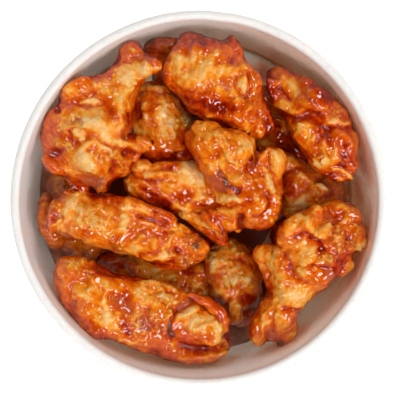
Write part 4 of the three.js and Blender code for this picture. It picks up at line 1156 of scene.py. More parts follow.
MARKS["flat_front_left"] = (
    # the piece as a whole
    paint(3, -0.3, (-20, -69), (8, -70)), paint(4.5, -0.3, (-44, -38), (-34, -38.6)),
    paint(5, -0.25, (-44, -46), (-36, -47)), paint(5, -0.25, (-27, -58), (-14, -59)),
    paint(3, -0.3, (1, -46), (8, -50)), ridge(3, 1.6, (-45, -64), (-52, -58)),
    ridge(3, 1.2, (-16, -73), (-6, -74.4)),
    # crumbs at the upper left
    crust(3.8, 1, (-56, -28.6), (-50, -29.4), (-49, -32.4)),
    paint(3, 0.5, (-56, -28.6), (-51, -28.4)), paint(2.6, 0.35, (-62, -31)),
    beads(0.9, (-54, -29.4), (-52, -28), (-53, -32.6), (-50, -32.2), (-48.8, -32.4), (-54.4, -31)),
    ridge(1.3, 1, (-47.6, -29.4), (-47.4, -32)),
    beads(1.3, (-47.6, -36), (-47.4, -28), (-48, -40), (-49, -40.4)),
    paint(4, -0.25, (-61, -38), (-58, -45)), crease(1, 0.9, (-55.6, -35.4), (-57.4, -42), (-57, -45)),
    # the saucy side towards the middle
    paint(2.6, -0.85, (-45.6, -31), (-38, -34), (-30, -36)),
    # the pale skin
    lap(1.6, 0.7, (-6, -44.6), (-12, -41.2), (-24, -37.8), (-36, -36.6), (-45, -34.6)),
    paint(5, 0.5, (-52, -42), (-45, -42), (-39, -42)), paint(2.4, 0.35, (-51, -43), (-47, -42)),
    paint(2.6, 0.45, (-46, -37.4), (-33, -38.6)), paint(3.4, 0.65, (-26.4, -41.4), (-20, -40)),
    # painted highlight: the white streak
    paint(1.2, 0.9, (-16, -38.8), (-11, -40.6)),
    ridge(1.4, 0.8, (-25, -38), (-15, -39.4), (-8, -42.4), (-4, -45)),
    ridge(5, 0.8, (-50, -42), (-42, -42)), ridge(5, 0.8, (-26, -42), (-19, -41.4)),
    ridge(2.4, -0.6, (-35, -38), (-33, -44)),
    crease(0.9, 0.8, (-22, -42.4), (-17, -42.8), (-13, -41.8)),
    # the small pit with its dark ring
    ridge(1.8, -1.3, (-55, -46.5)), char(1.5, 0.5, (-55.8, -46.6), (-53.8, -46.4)),
    meat(2.2, 0.8, (-55, -46.5)), ridge(0.8, 0.9, (-55, -46.9), (-53.8, -46.5)),
    # browned skin and the cream streak
    paint(4, -0.35, (-38, -45.4), (-31, -46)), meat(3.8, 0.7, (-37, -45.6), (-31, -48)),
    ridge(3, -0.6, (-37, -45.4), (-31, -47)),
    crease(0.9, 0.8, (-39.6, -44), (-37, -42.4), (-34, -43.6)),
    ridge(1.6, 0.7, (-42, -46), (-40.6, -50), (-40, -54)),
    paint(2, 0.9, (-41.8, -46.6), (-40.6, -50), (-40, -53.4)),
    paint(4.2, 0.55, (-43, -52), (-37.6, -53.4)), paint(3.6, 0.4, (-44, -56), (-38, -58)),
    paint(2.8, -0.6, (-55, -50), (-51, -54.6), (-46.4, -58.6), (-41, -61)),
    ridge(1.2, 0.9, (-47.8, -57.8), (-45.4, -59.2)),
    beads(1.1, (-44.6, -61), (-43, -62), (-42.4, -61.4)),
    # the torn crumbly oval
    crust(2.4, 1, (-33, -53.6), (-32, -58)), paint(2, -0.75, (-33.4, -54), (-32.2, -58.4)),
    char(0.9, 0.55, (-33, -52.4)), crust(5.5, 1.1, (-27, -56), (-21, -55)),
    paint(2.8, 0.35, (-28.6, -52), (-28, -58), (-22, -60.4)),
    ridge(2.4, -0.9, (-24, -54), (-23, -57)), meat(2.2, 1.3, (-24.4, -53.6), (-23, -57)),
    paint(1.8, -0.4, (-24, -54), (-23, -57)), char(1.2, 0.45, (-23.4, -55.4)),
    paint(1.1, 1, (-27.2, -56), (-25.8, -56.2)), ridge(1.4, 0.6, (-27.4, -56)),
    beads(1, (-30, -58), (-30, -60), (-28.8, -61.4), (-26.6, -62.2), (-24, -62.6), (-22, -62.6)),
    beads(0.9, (-31.4, -55.4), (-21, -53.6), (-23.6, -64), (-25, -63.4), (-19.6, -55)),
    paint(3.4, 0.45, (-25, -46), (-18, -45)), ridge(4, 0.8, (-24, -46), (-18, -46)),
    paint(2.4, 0.25, (-19, -51), (-17, -53)),
    # crumbs above and beside the knob
    crust(3.8, 1.1, (-16, -44.6), (-10.6, -47)), paint(2.6, 0.35, (-15, -44.6), (-11, -47)),
    beads(1, (-16.6, -46), (-14.4, -44.8), (-13.2, -47), (-12, -45.4), (-10.6, -46.6), (-14.6, -48)),
    crust(2.4, 1.1, (-13.4, -50), (-12.4, -55)), paint(1.7, 0.5, (-13, -51), (-12.6, -54.4)),
    beads(1, (-12.4, -50.2), (-14.8, -53), (-12, -52), (-16.6, -57), (-15.2, -57.2)),
    crust(3, 0.8, (-20, -58), (-15, -60)), meat(2, 0.6, (-18.6, -56), (-16, -59.4)),
    ridge(2.2, -1.6, (-4, -45.6), (-8, -48.4)), meat(2, 1.2, (-4.6, -45.8), (-7.4, -48)),
    paint(1.8, -0.5, (-4.6, -45.8), (-8, -48.6)), ridge(0.9, 0.9, (-5.6, -45.2), (-9, -49)),
    # the knob
    crease(1.5, 2.4, (-8, -49), (-10.4, -51), (-12.4, -56), (-11.8, -61), (-8, -64.6)),
    char(1.5, 1, (-12.2, -57), (-11.4, -61.4)),
    paint(1.3, -0.8, (-10, -50.4), (-12.4, -56), (-11.6, -61.4)),
    ridge(7.5, 1.6, (-2, -56), (3, -58)), paint(5.5, 0.4, (-3, -54), (3, -55)),
    paint(1.9, 0.65, (-8.4, -52), (-3, -49.6)), ridge(1.6, 0.7, (-8.4, -52), (-2, -49)),
    paint(2.3, 0.75, (-2.4, -54.6), (4.4, -54)), paint(2, -0.6, (0.6, -50.4), (3.4, -51)),
    char(0.8, 0.55, (-3.2, -52)), char(0.8, 0.55, (-9, -53.6)),
    ridge(1, 0.7, (-4.6, -57), (-1, -58.6), (3, -56.6)),
    beads(0.9, (-4, -57), (-1.6, -58.4), (1, -57.4), (-3, -55.4)),
    paint(1.8, 0.8, (8, -56.6), (8, -61.4)), ridge(1.8, 0.8, (8, -56.6), (8.4, -61.4)),
    beads(1.2, (7.2, -55.4), (6.4, -59), (8.6, -58)),
    ridge(1.5, 1.1, (3.8, -63.4), (6, -65.3), (8, -63.8)), beads(1.5, (-1.6, -61.6)),
    paint(2.8, -0.45, (-6, -59.4), (-3, -63.4)), paint(2.6, -0.2, (2, -61), (6, -62)),
    paint(2.4, -0.8, (-6, -65.4), (-1.6, -67), (2.4, -66.6)), char(0.8, 0.7, (-1.4, -65.8)),
    ridge(2.4, -1.6, (-6, -66), (4, -67.2), (10, -66.4)),
    # the flap along its lower edge
    ridge(2, 1.4, (-15, -68), (-6, -70.6), (4, -70.6), (13, -67.6)),
    paint(2, -0.05, (-15, -68), (-6, -70.4), (4, -70), (12, -67.6)),
    crease(1, 1.2, (-9, -66.4), (-3, -68.6), (6, -68), (12, -65.8)),
    ridge(1.1, 0.9, (-8.4, -69.4), (-5, -70.8), (0, -69.6), (5.4, -69)),
    beads(1.4, (-11.6, -64.6), (-7, -67.8)), paint(1.6, 0.35, (6, -68.6), (12, -67)),
    # painted shade in the dark notch at the right end
    ridge(1.8, -1.8, (12.6, -61.2), (14, -62.4)), paint(1.5, -1.2, (12.6, -61.2), (14, -62.4)),
    paint(3, 0.35, (-34, -61.6), (-27, -65)), paint(3, -0.15, (-21, -66), (-13, -69)),
    ridge(2.4, 0.7, (-34, -62), (-24, -66)), paint(2.6, -0.5, (-17, -72), (-8, -73.4)),
    # the strip of skin at its far corner
    paint(1.8, -0.15, (-4, -42.6), (5, -45.8), (11, -53), (13, -58)),
)
MARKS["flat_left"] = (
    # the piece as a whole
    # the marks from x 0 to 6 are painted shade in the gap at the right end
    paint(3, -0.35, (-18, -14)), paint(2.2, -1, (0, -15), (5.6, -19)),
    ridge(2.2, -1.6, (2, -15), (6, -18.6)), paint(2.4, -0.6, (3, -14), (6, -20)),
    paint(3, -0.25, (-68, -12)), paint(12, 0.12, (-56, -9), (-30, -14), (-6, -20)),
    # painted shadow of the piece above on the far edge
    paint(2.6, -0.35, (-60, 6), (-52, 5.4)),
    # the dark far edge
    paint(3, -0.5, (-55, 4.4), (-48, 4), (-42, 2.4)), char(1.4, 0.6, (-44.4, 0.8), (-42, -1)),
    paint(1.6, -0.6, (-46, 0.4), (-42, -1)), beads(1.1, (-43.4, -1)),
    ridge(2.4, 1, (-52, 2), (-56, -2), (-59.6, -6)),
    paint(2.4, 0.65, (-52, 1.6), (-56, -2), (-58.6, -5)),
    # the folded left end
    crust(3.2, 1, (-65, -3.6), (-63, -8.6)), paint(2.4, 0.4, (-66, -2.4), (-64, -3.4)),
    meat(2.6, 0.6, (-65, -5), (-63, -7)), paint(1.4, -0.8, (-63.4, -5.6), (-64.6, -9.4)),
    ridge(1.3, 1, (-64.6, -11), (-62, -9), (-60, -10.6)), paint(1.2, 0.5, (-64.4, -11), (-62, -9.2)),
    crease(0.9, 0.9, (-60, -3), (-61, -8), (-59, -12.6)),
    ridge(1.2, 0.8, (-63, -13), (-61, -12.2), (-60, -14)), paint(2.4, 0.25, (-64, -15.4), (-63, -19)),
    # the pale skin with fine streaks
    paint(6.5, 0.45, (-55, -7), (-48, -9), (-42, -10)), crust(4, 0.9, (-50.4, -6), (-46, -10)),
    paint(2.8, 0.4, (-50.6, -6), (-46, -10)), char(0.7, 0.55, (-49, -6.4)),
    beads(0.8, (-52, -6.8), (-48, -8), (-46.6, -9.6), (-49, -11.2), (-45, -11.4)),
    ridge(1, 0.35, (-55.4, -2), (-56.4, -14)), ridge(1, 0.35, (-52, -3), (-52.6, -15)),
    ridge(1, 0.3, (-43, -6), (-42, -16)), paint(4, -0.1, (-55, -15.4), (-45, -17.6), (-38, -20)),
    paint(2, -0.7, (-37, -0.6), (-36.4, -4.4)), paint(1.7, 0.9, (-33.4, -4), (-31, -4)),
    ridge(1.6, 0.7, (-33.4, -4), (-31, -4)), paint(2, 0.85, (-32.8, -8.6), (-34, -12)),
    ridge(2, 0.7, (-32.6, -8.6), (-34, -12.4)), char(0.8, 0.7, (-32, -13)),
    beads(0.9, (-40, -8.4), (-34.4, -7.4), (-41, -4)),
    paint(4, 0.25, (-60, -17), (-50, -19), (-38, -22), (-28, -24)),
    # wrinkles along the upper side
    ridge(1, 0.6, (-32, -0.8), (-20, -5), (-12, -8.4)), ridge(1, 0.5, (-30, -3.6), (-22, -7.4)),
    ridge(1, 0.5, (-29, -8.6), (-20, -11.6)), crease(1, 0.8, (-27, -7), (-20, -9), (-16, -10.4)),
    paint(1.5, -0.7, (-26, -7.6), (-20, -9)), paint(1.4, 0.7, (-26.6, -4.8), (-24, -6)),
    paint(1.2, 0.45, (-22, -6.8), (-18.6, -8)),
    paint(3.2, -0.55, (-19, -7.4), (-12, -10), (-15, -13.4)),
    paint(2, 0.65, (-12, -12.8), (-7, -12.2)), ridge(1.6, 0.7, (-12, -12.8), (-6, -12)),
    # the wet end with its lights
    paint(3, -0.25, (-24, -14), (-18, -17)),
    ridge(1.7, 1.1, (-25.4, -16), (-27, -18.4), (-29.4, -19.6)), beads(1.6, (-25.2, -16)),
    ridge(1.5, 1.1, (-20.2, -18.6), (-19.6, -21)), ridge(1.6, 1.2, (-12.8, -17.2), (-13.6, -20.6)),
    beads(1.5, (-15.2, -22.8), (-15, -13)),
    beads(0.9, (-17, -17.8), (-23, -13.6), (-4.6, -14.8), (-22, -18)),
    ridge(1.5, 1.1, (-10.4, -16.4), (-8, -15.2)), paint(3, 0.3, (-33, -22.4), (-22, -21.8)),
    crust(2.4, 1.3, (-37, -18.8), (-35.4, -21)), paint(2.4, -0.4, (-37, -19), (-35, -21.4)),
    beads(1.1, (-36, -20.6), (-37.6, -18.6), (-33.4, -20), (-35, -21.4)),
    # the rough right end
    crust(3, 1.3, (-3.4, -17.6), (-1, -19.4)), char(2.4, 0.7, (1, -17.4), (-1, -20.4)),
    crust(3, 0.9, (0, -19)),
    beads(1.1, (-4, -17.4), (-3, -18.6), (-5.4, -20.6), (-3.6, -20.8), (-2, -21), (-2.6, -25), (-7, -20)),
    beads(0.9, (-9, -19.6), (-1.4, -22.6), (-1, -16.4)), ridge(1.8, -1.4, (-9, -22.6)),
    paint(2, -0.95, (-9.4, -22.6), (-7.6, -23)), crust(3.4, 1.4, (-10, -25), (-5, -28)),
    meat(1.6, 0.8, (-6, -28)),
    beads(1.2, (-11.2, -24.8), (-9, -26), (-7.4, -27.4), (-5, -26.4), (-3.4, -28.2), (-6, -29),
          (-1.8, -25.4)),
    paint(2.4, -0.05, (2, -20), (3, -24)),
    # the strip of skin below it
    crease(1.1, 1.5, (-26, -25.2), (-18, -24), (-12.4, -22)),
    paint(1, -0.7, (-25, -25), (-18, -23.8)), ridge(2, 1.2, (-26, -26.4), (-18, -25), (-12, -24.4)),
    # the second mark, the dark band just below the strip, is painted shade under its edge
    paint(1.9, 0.6, (-23, -25.8), (-14, -24.2)), paint(1.9, -0.9, (-24, -28.4), (-12, -28.6)),
    beads(1.2, (-19.4, -28.8), (-18.2, -28.9), (-12.6, -29)),
)
MARKS["flat_centre_left"] = (
    # the piece as a whole
    # the first mark is painted light, lifting the right end out of the shade beside the higher piece
    paint(3, 0.45, (-4, 15), (-2, 12)), paint(2.6, 0.35, (5, -8)),
    paint(2.6, -0.6, (-20, 2.6), (-10, -4)), ridge(3, 1, (-5, 14), (-2, 11)),
    # lengthwise pleats
    # the first mark here is that painted light again, not a pleat
    paint(3.2, 0.55, (-5, 14), (-1, 11)), ridge(1.3, 0.7, (-26, 14), (-14, 15.4)),
    ridge(1.3, 0.7, (-23, 10.6), (-12, 11.4)), ridge(1.3, 0.6, (-20, 7), (-8, 5.6)),
    crease(1, 0.7, (-25, 12), (-13, 13.4)), crease(1, 0.7, (-23, 8.4), (-12, 8.8)),
    paint(1.5, -0.5, (-16, 13.4), (-11, 14)), paint(1.5, -0.5, (-22, 8.2), (-17, 7.2)),
    paint(3, 0.4, (-25, 13), (-15, 15)), paint(2.6, 0.45, (-21, 10.4), (-12, 10.4)),
    paint(3.6, 0.8, (-8, 11), (-4.4, 9), (-1, 7.4)), paint(1.7, 0.85, (-5, 15), (-2.4, 15)),
    char(0.8, 0.55, (-7.3, 11)), paint(2, 0.65, (1, 7), (1.6, 2)), beads(1.2, (1.8, 1.4)),
    # the fold below the slab
    lap(1.8, 0.9, (-10, -0.6), (-14, 1.4), (-20, 4.8), (-26.4, 8.2)),
    paint(2.4, -0.9, (-24, 3.4), (-17, 0), (-13, -2.4)), paint(2.6, 0.35, (-17, 5), (-11, 3)),
    ridge(1.6, 0.9, (-31, 7), (-29, 2)), paint(1.5, 0.35, (-30, 7), (-29, 1)),
    ridge(1, 0.6, (-28, 6), (-22, 1)), paint(1, 0.3, (-27.6, 5.6), (-23, 2)),
    paint(2.4, -0.6, (-10, 1), (-5, 0.4), (-3, 2)), meat(2, 0.6, (-3.4, 0), (-2, -3)),
    paint(2, 0.45, (-1, 2.4), (0, -0.6)), crust(2.4, 1.1, (2, -2.8), (4.4, -4)),
    paint(1.8, -0.65, (0.6, -2.4), (4, -3.4)), beads(0.9, (4, -4), (2, -2.6), (3, -5)),
    paint(2.2, 0.7, (-9, -2.6), (-6, -3)), ridge(2, 1, (-10, -3), (-4, -3.4)),
    paint(2, 0.2, (-3, -4.4), (3, -5.4)),
)
MARKS["drumette_inner_back"] = (
    # the lighter marks in these three lines are painted light, lifting the right part and the top out of
    # the shade of the pieces above
    paint(3, 0.3, (-5, 35)), paint(4, -0.35, (-17, 27)), paint(3, 0.4, (-8, 34)),
    paint(4, 0.7, (-3, 33), (-5, 30)), paint(4, 0.6, (-25, 49), (-18, 48), (-12, 45)),
    paint(4, 0.45, (-9, 34), (-5, 32)), paint(2.6, -0.2, (-25, 49), (-13, 48)),
    ridge(1.4, 0.8, (-26, 49.6), (-14, 49)), paint(1.2, 0.4, (-25, 49.4), (-22, 49.4)),
    crease(1, 0.9, (-25, 47.4), (-13, 47)), paint(2.2, -0.6, (-24, 44.4), (-18, 45.4), (-13, 45)),
    beads(1, (-17, 41), (-14.2, 41.6), (-12, 41.6), (-23.8, 42.4)),
    paint(1.5, 0.65, (-24, 43), (-23.6, 41)), paint(1.4, 0.75, (-24, 37.4), (-23, 36.4)),
    ridge(1.4, 0.8, (-23.8, 37)), char(1.3, 0.7, (-20.4, 38)),
    paint(2, -0.6, (-20.6, 39), (-20, 35.6)), paint(4.6, 0.75, (-17, 37.4), (-14.4, 34), (-15, 30)),
    paint(1.8, 0.35, (-15.4, 39), (-13, 35)), ridge(4.4, 1.1, (-16.4, 37), (-15, 29)),
    paint(3.8, 0.2, (-15.4, 26.4)), ridge(0.9, 0.9, (-11.9, 31.8), (-10.8, 27.6)),
    beads(1, (-9, 35), (-7, 35.6), (-6.4, 33), (-9.4, 32)), crust(2.6, 0.9, (-9, 35), (-6, 32)),
    paint(2.6, -0.5, (-8, 32), (-7.6, 26)), paint(2.6, -0.95, (-4.4, 31), (-4, 22)),
    paint(2.8, -0.85, (-25, 18.6), (-15, 19), (-5, 19.6)), ridge(0.8, 0.8, (-12, 21.6), (-7, 22.4)),
    ridge(0.8, 0.6, (-9, 24.4), (-6, 23)), beads(1, (-3.6, 18.8)),
    paint(1.8, -0.9, (-27, 41), (-26.6, 36.6)), crease(1, 1.2, (-26.6, 43), (-26.4, 36)),
    paint(1.3, 0.6, (-27.2, 31.4), (-26.4, 30)), paint(1.2, 0.6, (-24.8, 30.4), (-24.2, 29)),
    ridge(1.2, 0.7, (-29, 34), (-27, 30)),
)
MARKS["drumette_front"] = (
    # the second mark is painted shade in the gap at the top right
    paint(3.4, 0.5, (4, -41), (8, -42)), paint(2.4, -0.3, (25.6, -22), (28, -29)),
    paint(2, -0.5, (3.2, -31), (4.6, -38)), paint(2.2, 0.75, (7, -27), (8.4, -32)),
    ridge(2, 0.8, (7, -26), (8, -33)), paint(4, 0.2, (12, -24), (17.4, -25)),
    beads(1, (17, -23.6), (18.6, -25.6), (15, -21), (20.4, -26)),
    paint(1.2, 0.6, (17, -23.6), (18.6, -25.4)), paint(1.7, -0.5, (18, -28.5), (20.4, -29.2)),
    crease(0.9, 0.8, (15, -27.4), (21, -28.4)), beads(1.4, (12, -29.4), (11.4, -28.4), (17.5, -32)),
    beads(1.1, (20, -33.6), (13, -35.4), (19.6, -37.6), (15, -34)),
    crust(4.4, 1.2, (14.6, -35), (18.4, -38)), paint(4, 0.55, (14.6, -36.6), (18.4, -36)),
    ridge(3, 0.7, (17, -37)), paint(2.8, 0.5, (22.4, -37), (25, -38), (25.2, -41)),
    paint(3, 0.45, (4, -42), (9, -40)), paint(3, 0.25, (13, -29), (17, -31)),
    paint(5, 0.25, (8, -36), (16, -28)), ridge(2.4, 0.7, (24, -37), (25, -41)),
    # the last mark is sauce and painted shade on the right flank, which the higher piece beside it shuts
    # from the light
    ridge(1.1, 0.8, (22, -40), (23.2, -37)), paint(3.4, -0.5, (26.4, -28), (28, -38), (26.5, -46)),
    paint(2, -0.7, (9.6, -36), (8.6, -40)), ridge(1.9, 1.4, (8.4, -43.2), (11, -41.4), (13, -44)),
    paint(2.4, -0.65, (9, -46.4), (13, -47.2)), paint(2, -0.95, (10, -49), (13, -51)),
    ridge(4.2, 1.6, (17, -47), (18.4, -54)), paint(2.8, 0.3, (17, -48), (18.4, -52.4)),
    crust(2.4, 0.9, (17.8, -49), (18.6, -53)),
    beads(0.9, (18, -49), (18.6, -52), (17.4, -51), (18.4, -54)),
    paint(3.4, -0.85, (22.4, -46), (25.4, -48), (23.4, -54)),
    beads(0.9, (21, -45.4), (20.4, -43.4), (22.2, -48.4), (21, -49.4), (23.4, -52.6)),
    crease(1.2, 1.4, (14.6, -46), (14.6, -54)), crease(1.1, 1.4, (20.6, -46), (21, -55)),
    paint(2.6, -0.5, (18, -57.4)),
)
MARKS["flat_right"] = (
    paint(8, 0.14, (46, -2), (58, 0)), paint(4, 0.65, (43, -3), (49, -5)),
    # the second mark is sauce and painted shade in the deep gap at the far end
    paint(2, 0.5, (41.4, 17.6), (43, 15.6)), paint(2.6, -1, (44, 22), (47, 18)),
    ridge(2, 0.8, (41.6, 17.6), (45, 14.6)), ridge(1.2, 0.8, (46.4, 10.8), (49, 9.2)),
    paint(1, 0.7, (46.4, 10.6), (48.4, 9.6)), paint(3, -0.8, (41, 9.4), (42, 5), (43, 1)),
    beads(1.3, (47.2, 7.4), (45.4, 3)),
    beads(1, (47.6, 6.2), (45, 1.6), (49, 5), (52, 6.4), (54, 3), (55, 1), (54.6, -1.6), (39.4, 3.4)),
    char(0.7, 0.6, (49.2, 4.4)), paint(2.8, 0.8, (49.4, 0.4), (48, -2)),
    ridge(2.8, 1, (49.4, 0.4), (48, -2)), ridge(1.6, 0.9, (51, 7), (53.6, 2)),
    crust(3, 1, (43, -3.6), (47, -5)), crust(3, 0.8, (52, 3), (54, -1)),
    ridge(2, -1.6, (55.4, 8.6)), char(1.9, 0.9, (54.6, 9), (57, 8)),
    ridge(1.5, 1.2, (55.4, 6), (58.4, 3.2)), paint(1.5, 0.95, (55.4, 6), (58.2, 3.4)),
    meat(1.8, 0.8, (58, 7), (60, 5)), paint(2, -0.5, (59, 1), (60, 4)),
)
MARKS["flat_under_front_left"] = (
    paint(3, -0.4, (-15, -27)), paint(5, 0.3, (-26, -33), (-12, -35)),
    # painted shade on the buried left part
    paint(4, -0.85, (-45, -27), (-36, -31)),
    ridge(1.4, 1.1, (-35, -28.4), (-31, -29.2), (-29, -33), (-27, -36)),
    # the meat and paint marks on this path paint a grey-pink highlight
    meat(1.5, 1, (-34.6, -28.6), (-31, -29.4), (-29, -33), (-27.4, -35.6)),
    paint(1.4, 0.35, (-34.6, -28.6), (-31, -29.4), (-29, -33)),
    paint(3.8, 0.05, (-24, -34), (-15, -36)), paint(2, 0.4, (-18.4, -34)),
    paint(2.8, -0.8, (-12, -31), (-4, -34)), beads(1.5, (-7.6, -34)),
    beads(1.1, (-2.6, -33.6), (-13.6, -40), (-8, -39.4), (-8.4, -41), (-5.4, -42.6), (-1, -37.4)),
    beads(0.9, (-2, -42), (1, -44), (-4, -40.4), (-10, -38)),
    crust(3, 1.2, (-8, -39.6), (-4, -42.4)), paint(2, 0.3, (-1, -38), (3, -43)),
    ridge(1.8, 0.9, (-1, -38), (3, -43)), char(0.7, 0.8, (1, -42)),
)
MARKS["drumette_under_left"] = (
    paint(3, -0.1, (-54, -20.4), (-50, -20)), char(1.3, 0.8, (-51, -24), (-49.4, -24.4)),
    beads(1.1, (-55, -24), (-48, -24), (-54, -23)), meat(2.4, 0.7, (-66, 6), (-66, -1)),
    paint(1.6, 0.3, (-57, 3.4), (-60, 6)), crust(2.6, 0.9, (-60, 5), (-57, 3)),
)
MARKS["drumette_under_back"] = (
    paint(3.4, -0.55, (-21, 66), (-18, 71)), paint(3, -0.15, (-12, 68)),
    crust(3, 1, (-14, 66), (-10, 64)), meat(6, 0.4, (-18, 66), (-10, 70)),
    paint(3, 0.2, (-17, 53), (-13, 51)),
)
MARKS["flat_under_back_right"] = (
    # the first mark is painted light on a spot in shade; the second is sauce and painted shade in the
    # deep gap
    paint(4, 0.5, (25, 24), (30, 25.4)), paint(6, -0.8, (38, 26), (46, 20), (52, 13)),
    paint(1.4, 0.6, (37.6, 33), (38, 31)), ridge(1.2, 0.7, (37, 34), (37.6, 30)),
    paint(2, 0.3, (29, 26), (33, 24)),
)
MARKS["flat_under_right"] = (paint(3, -0.3, (34, -12), (34, -18)),)

# ---------------------------------------------------------------- the wings
def sighted(points, level):
    """Where points lie on a level plane as seen from the eye above the bowl, in mm."""
    share = (EYE[2] - level * MM) / (EYE[2] - points[:, 2])
    return (EYE[:2] + (points[:, :2] - EYE[:2]) * share[:, None]) / MM


def eased(path):
    """The path with its corners cut off twice, each time a quarter of the way in."""
    path = np.array(path, float)
    if len(path) == 1:
        return np.repeat(path, 2, axis=0)
    for _ in range(2):
        first, last = path[:1], path[-1:]
        near = 0.75 * path[:-1] + 0.25 * path[1:]
        far = 0.25 * path[:-1] + 0.75 * path[1:]
        path = np.concatenate([first, np.stack([near, far], 1).reshape(-1, 2), last])
    return path


def boxed(spots, path, reach):
    """Which spots lie within reach of the path's box."""
    return ((spots > path.min(0) - reach) & (spots < path.max(0) + reach)).all(1)


def beside(spots, path):
    """Distance of spots from a path of straight stretches, below 0 on its left, and the number of
    the nearest stretch."""
    step = np.diff(path, axis=0)
    away = spots[:, None] - path[:-1]
    share = ((away * step).sum(2) / (step**2).sum(1).clip(1e-9)).clip(0, 1)
    gap = np.linalg.norm(away - share[..., None] * step, axis=2)
    nearest = gap.argmin(1)
    row = np.arange(len(spots))
    turn = away[..., 0] * step[:, 1] - away[..., 1] * step[:, 0]
    return np.copysign(gap[row, nearest], turn[row, nearest]), nearest


def gaps_to_places(spots, places):
    """Distance of spots from the nearest of some separate places."""
    return np.linalg.norm(spots[:, None] - np.array(places, float), axis=2).min(1)


# How an edge draws in what is outside it, in mm: the pull starts this far inside the edge, dies
# out over this length, and takes hold of nothing beyond this distance.
PULL_START = 2
PULL_LENGTH = 2.3
PULL_REACH = 8


def drawn_in(points, path):
    """Points moved level towards the left of a path as the eye sees it. With s for the start of
    the pull and l for its length, a point g mm to the right of the path comes to
    -s + l (1 - exp(-(g + s) / l)), and the move fades at the path's ends."""
    path = eased(path)
    spots = sighted(points, EDGE_LEVEL)
    near = boxed(spots, path, PULL_REACH)
    spots = spots[near]
    gap, nearest = beside(spots, path)
    step = np.diff(path, axis=0)
    outward = (step[:, ::-1] * (1, -1) / np.linalg.norm(step, axis=1)[:, None])[nearest]
    past = gap.clip(-PULL_START, PULL_REACH) + PULL_START
    drawn = PULL_LENGTH * (1 - np.exp(-past / PULL_LENGTH)) - PULL_START
    held = (gap > -PULL_START) & (gap < PULL_REACH)
    move = np.where(held, drawn - gap, 0) * ramp(gaps_to_places(spots, path[[0, -1]]), 0.5, 4)
    moved = points.copy()
    moved[near, :2] += (move[:, None] * outward) * MM
    return moved


def mark_height(mark, spots):
    """A ridge is a bell curve across its path, a crease an exponential dip, a bead a small bell,
    and a lap a bell that is wide on the path's left and narrow on its right."""
    if mark.kind == "bead":
        return 0.8 * mark.amount * bell(gaps_to_places(spots, mark.path), 0.45 * mark.width + 0.2)
    gap = beside(spots, eased(mark.path))[0]
    if mark.kind == "ridge":
        return mark.amount * bell(gap, mark.width)
    if mark.kind == "crease":
        return -mark.amount * np.exp(-np.abs(gap) / mark.width)
    return mark.amount * bell(gap, np.where(gap < 0, 3.0, 0.35) * mark.width)


def marked(name, spots):
    """The wing's marks summed up: its height in mm, its tone, and shares of crust, meat and char.
    Heights and tones add up. Of overlapping crust, meat or char the stronger counts. Marks of
    colour are even in the middle and die out past their width, and no mark reaches past 3.5 of it."""
    sums = {kind: np.zeros(len(spots)) for kind in ("height", "tone", "crust", "meat", "char")}
    sums["tone"] += LOOKS[name].paleness
    for mark in MARKS[name]:
        near = boxed(spots, np.array(mark.path, float), 3.5 * mark.width)
        if not near.any():
            continue
        if mark.kind in ("ridge", "crease", "lap", "bead"):
            sums["height"][near] += mark_height(mark, spots[near])
            continue
        gap = np.abs(beside(spots[near], eased(mark.path))[0])
        share = mark.amount * np.exp(-((gap / (1.05 * mark.width)) ** 3))
        if mark.kind == "tone":
            sums["tone"][near] += 0.85 * share
        else:
            sums[mark.kind][near] = np.maximum(sums[mark.kind][near], share)
    return sums


def limb(radius, path):
    """A sausage along a path: 28 rings of 12 points and a radius, drawn in by a half circle's rule
    over the first two fifths of the run and over its last eighth."""
    path = np.array(path, float) * MM
    run = np.linspace(0, 1, 28)
    corner = np.linspace(0, 1, len(path))
    middle = np.stack([np.interp(run, corner, path[:, axis]) for axis in range(3)], 1)
    ahead = np.gradient(middle, axis=0)
    ahead /= np.linalg.norm(ahead, axis=1)[:, None]
    side = np.cross(ahead, [0, 0, 1.0])
    side /= np.linalg.norm(side, axis=1)[:, None]
    up = np.cross(side, ahead)
    rise = np.minimum(run / 0.4, (1 - run) / 0.12).clip(0, 1)
    ends = np.sqrt(1 - (1 - rise) ** 2)
    turn = np.linspace(0, 2 * np.pi, 12, endpoint=False)[:, None, None]
    ring = np.cos(turn) * side + np.sin(turn) * up
    return surface_of(middle + radius * MM * ends[:, None] * ring)


def joined_copy(node, limbs):
    """The solid's surface with its loose triangles joined, and its limbs, as a new object."""
    work = bmesh.new()
    work.from_mesh(node.data)
    bmesh.ops.remove_doubles(work, verts=work.verts, dist=1e-6)
    for radius, *path in limbs:
        extra = limb(radius, path)
        work.from_mesh(extra)
        bpy.data.meshes.remove(extra)
    mesh = bpy.data.meshes.new("work")
    work.to_mesh(mesh)
    work.free()
    made = bpy.data.objects.new("work", mesh)
    bpy.context.scene.collection.objects.link(made)
    return made


def rounded(work, passes):
    """The work object's mesh after its modifiers, with a number of smoothing passes."""
    work.modifiers["smooth"].iterations = passes
    evaluated = work.evaluated_get(bpy.context.evaluated_depsgraph_get())
    return bpy.data.meshes.new_from_object(evaluated)


def refined(name, settings):
    """The solid's surface as an even fine mesh. Its facets are rounded off, and its valleys are
    filled towards where eleven times the rounding passes would lift them."""
    work = joined_copy(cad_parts[name], LIMBS.get(name, ()))
    remesh = work.modifiers.new("remesh", "REMESH")
    remesh.mode = "VOXEL"
    remesh.voxel_size = settings.grain
    work.modifiers.new("smooth", "SMOOTH").factor = 0.5
    mesh = rounded(work, settings.smoothing)
    blunt = rounded(work, 11 * settings.smoothing)
    normals = normals_of(mesh)
    points = positions_of(mesh)
    lift = ((positions_of(blunt) - points) * normals).sum(1).clip(0)
    set_positions(mesh, points + normals * (settings.filling * lift)[:, None])
    bpy.data.meshes.remove(blunt)
    bpy.data.objects.remove(work)
    return mesh


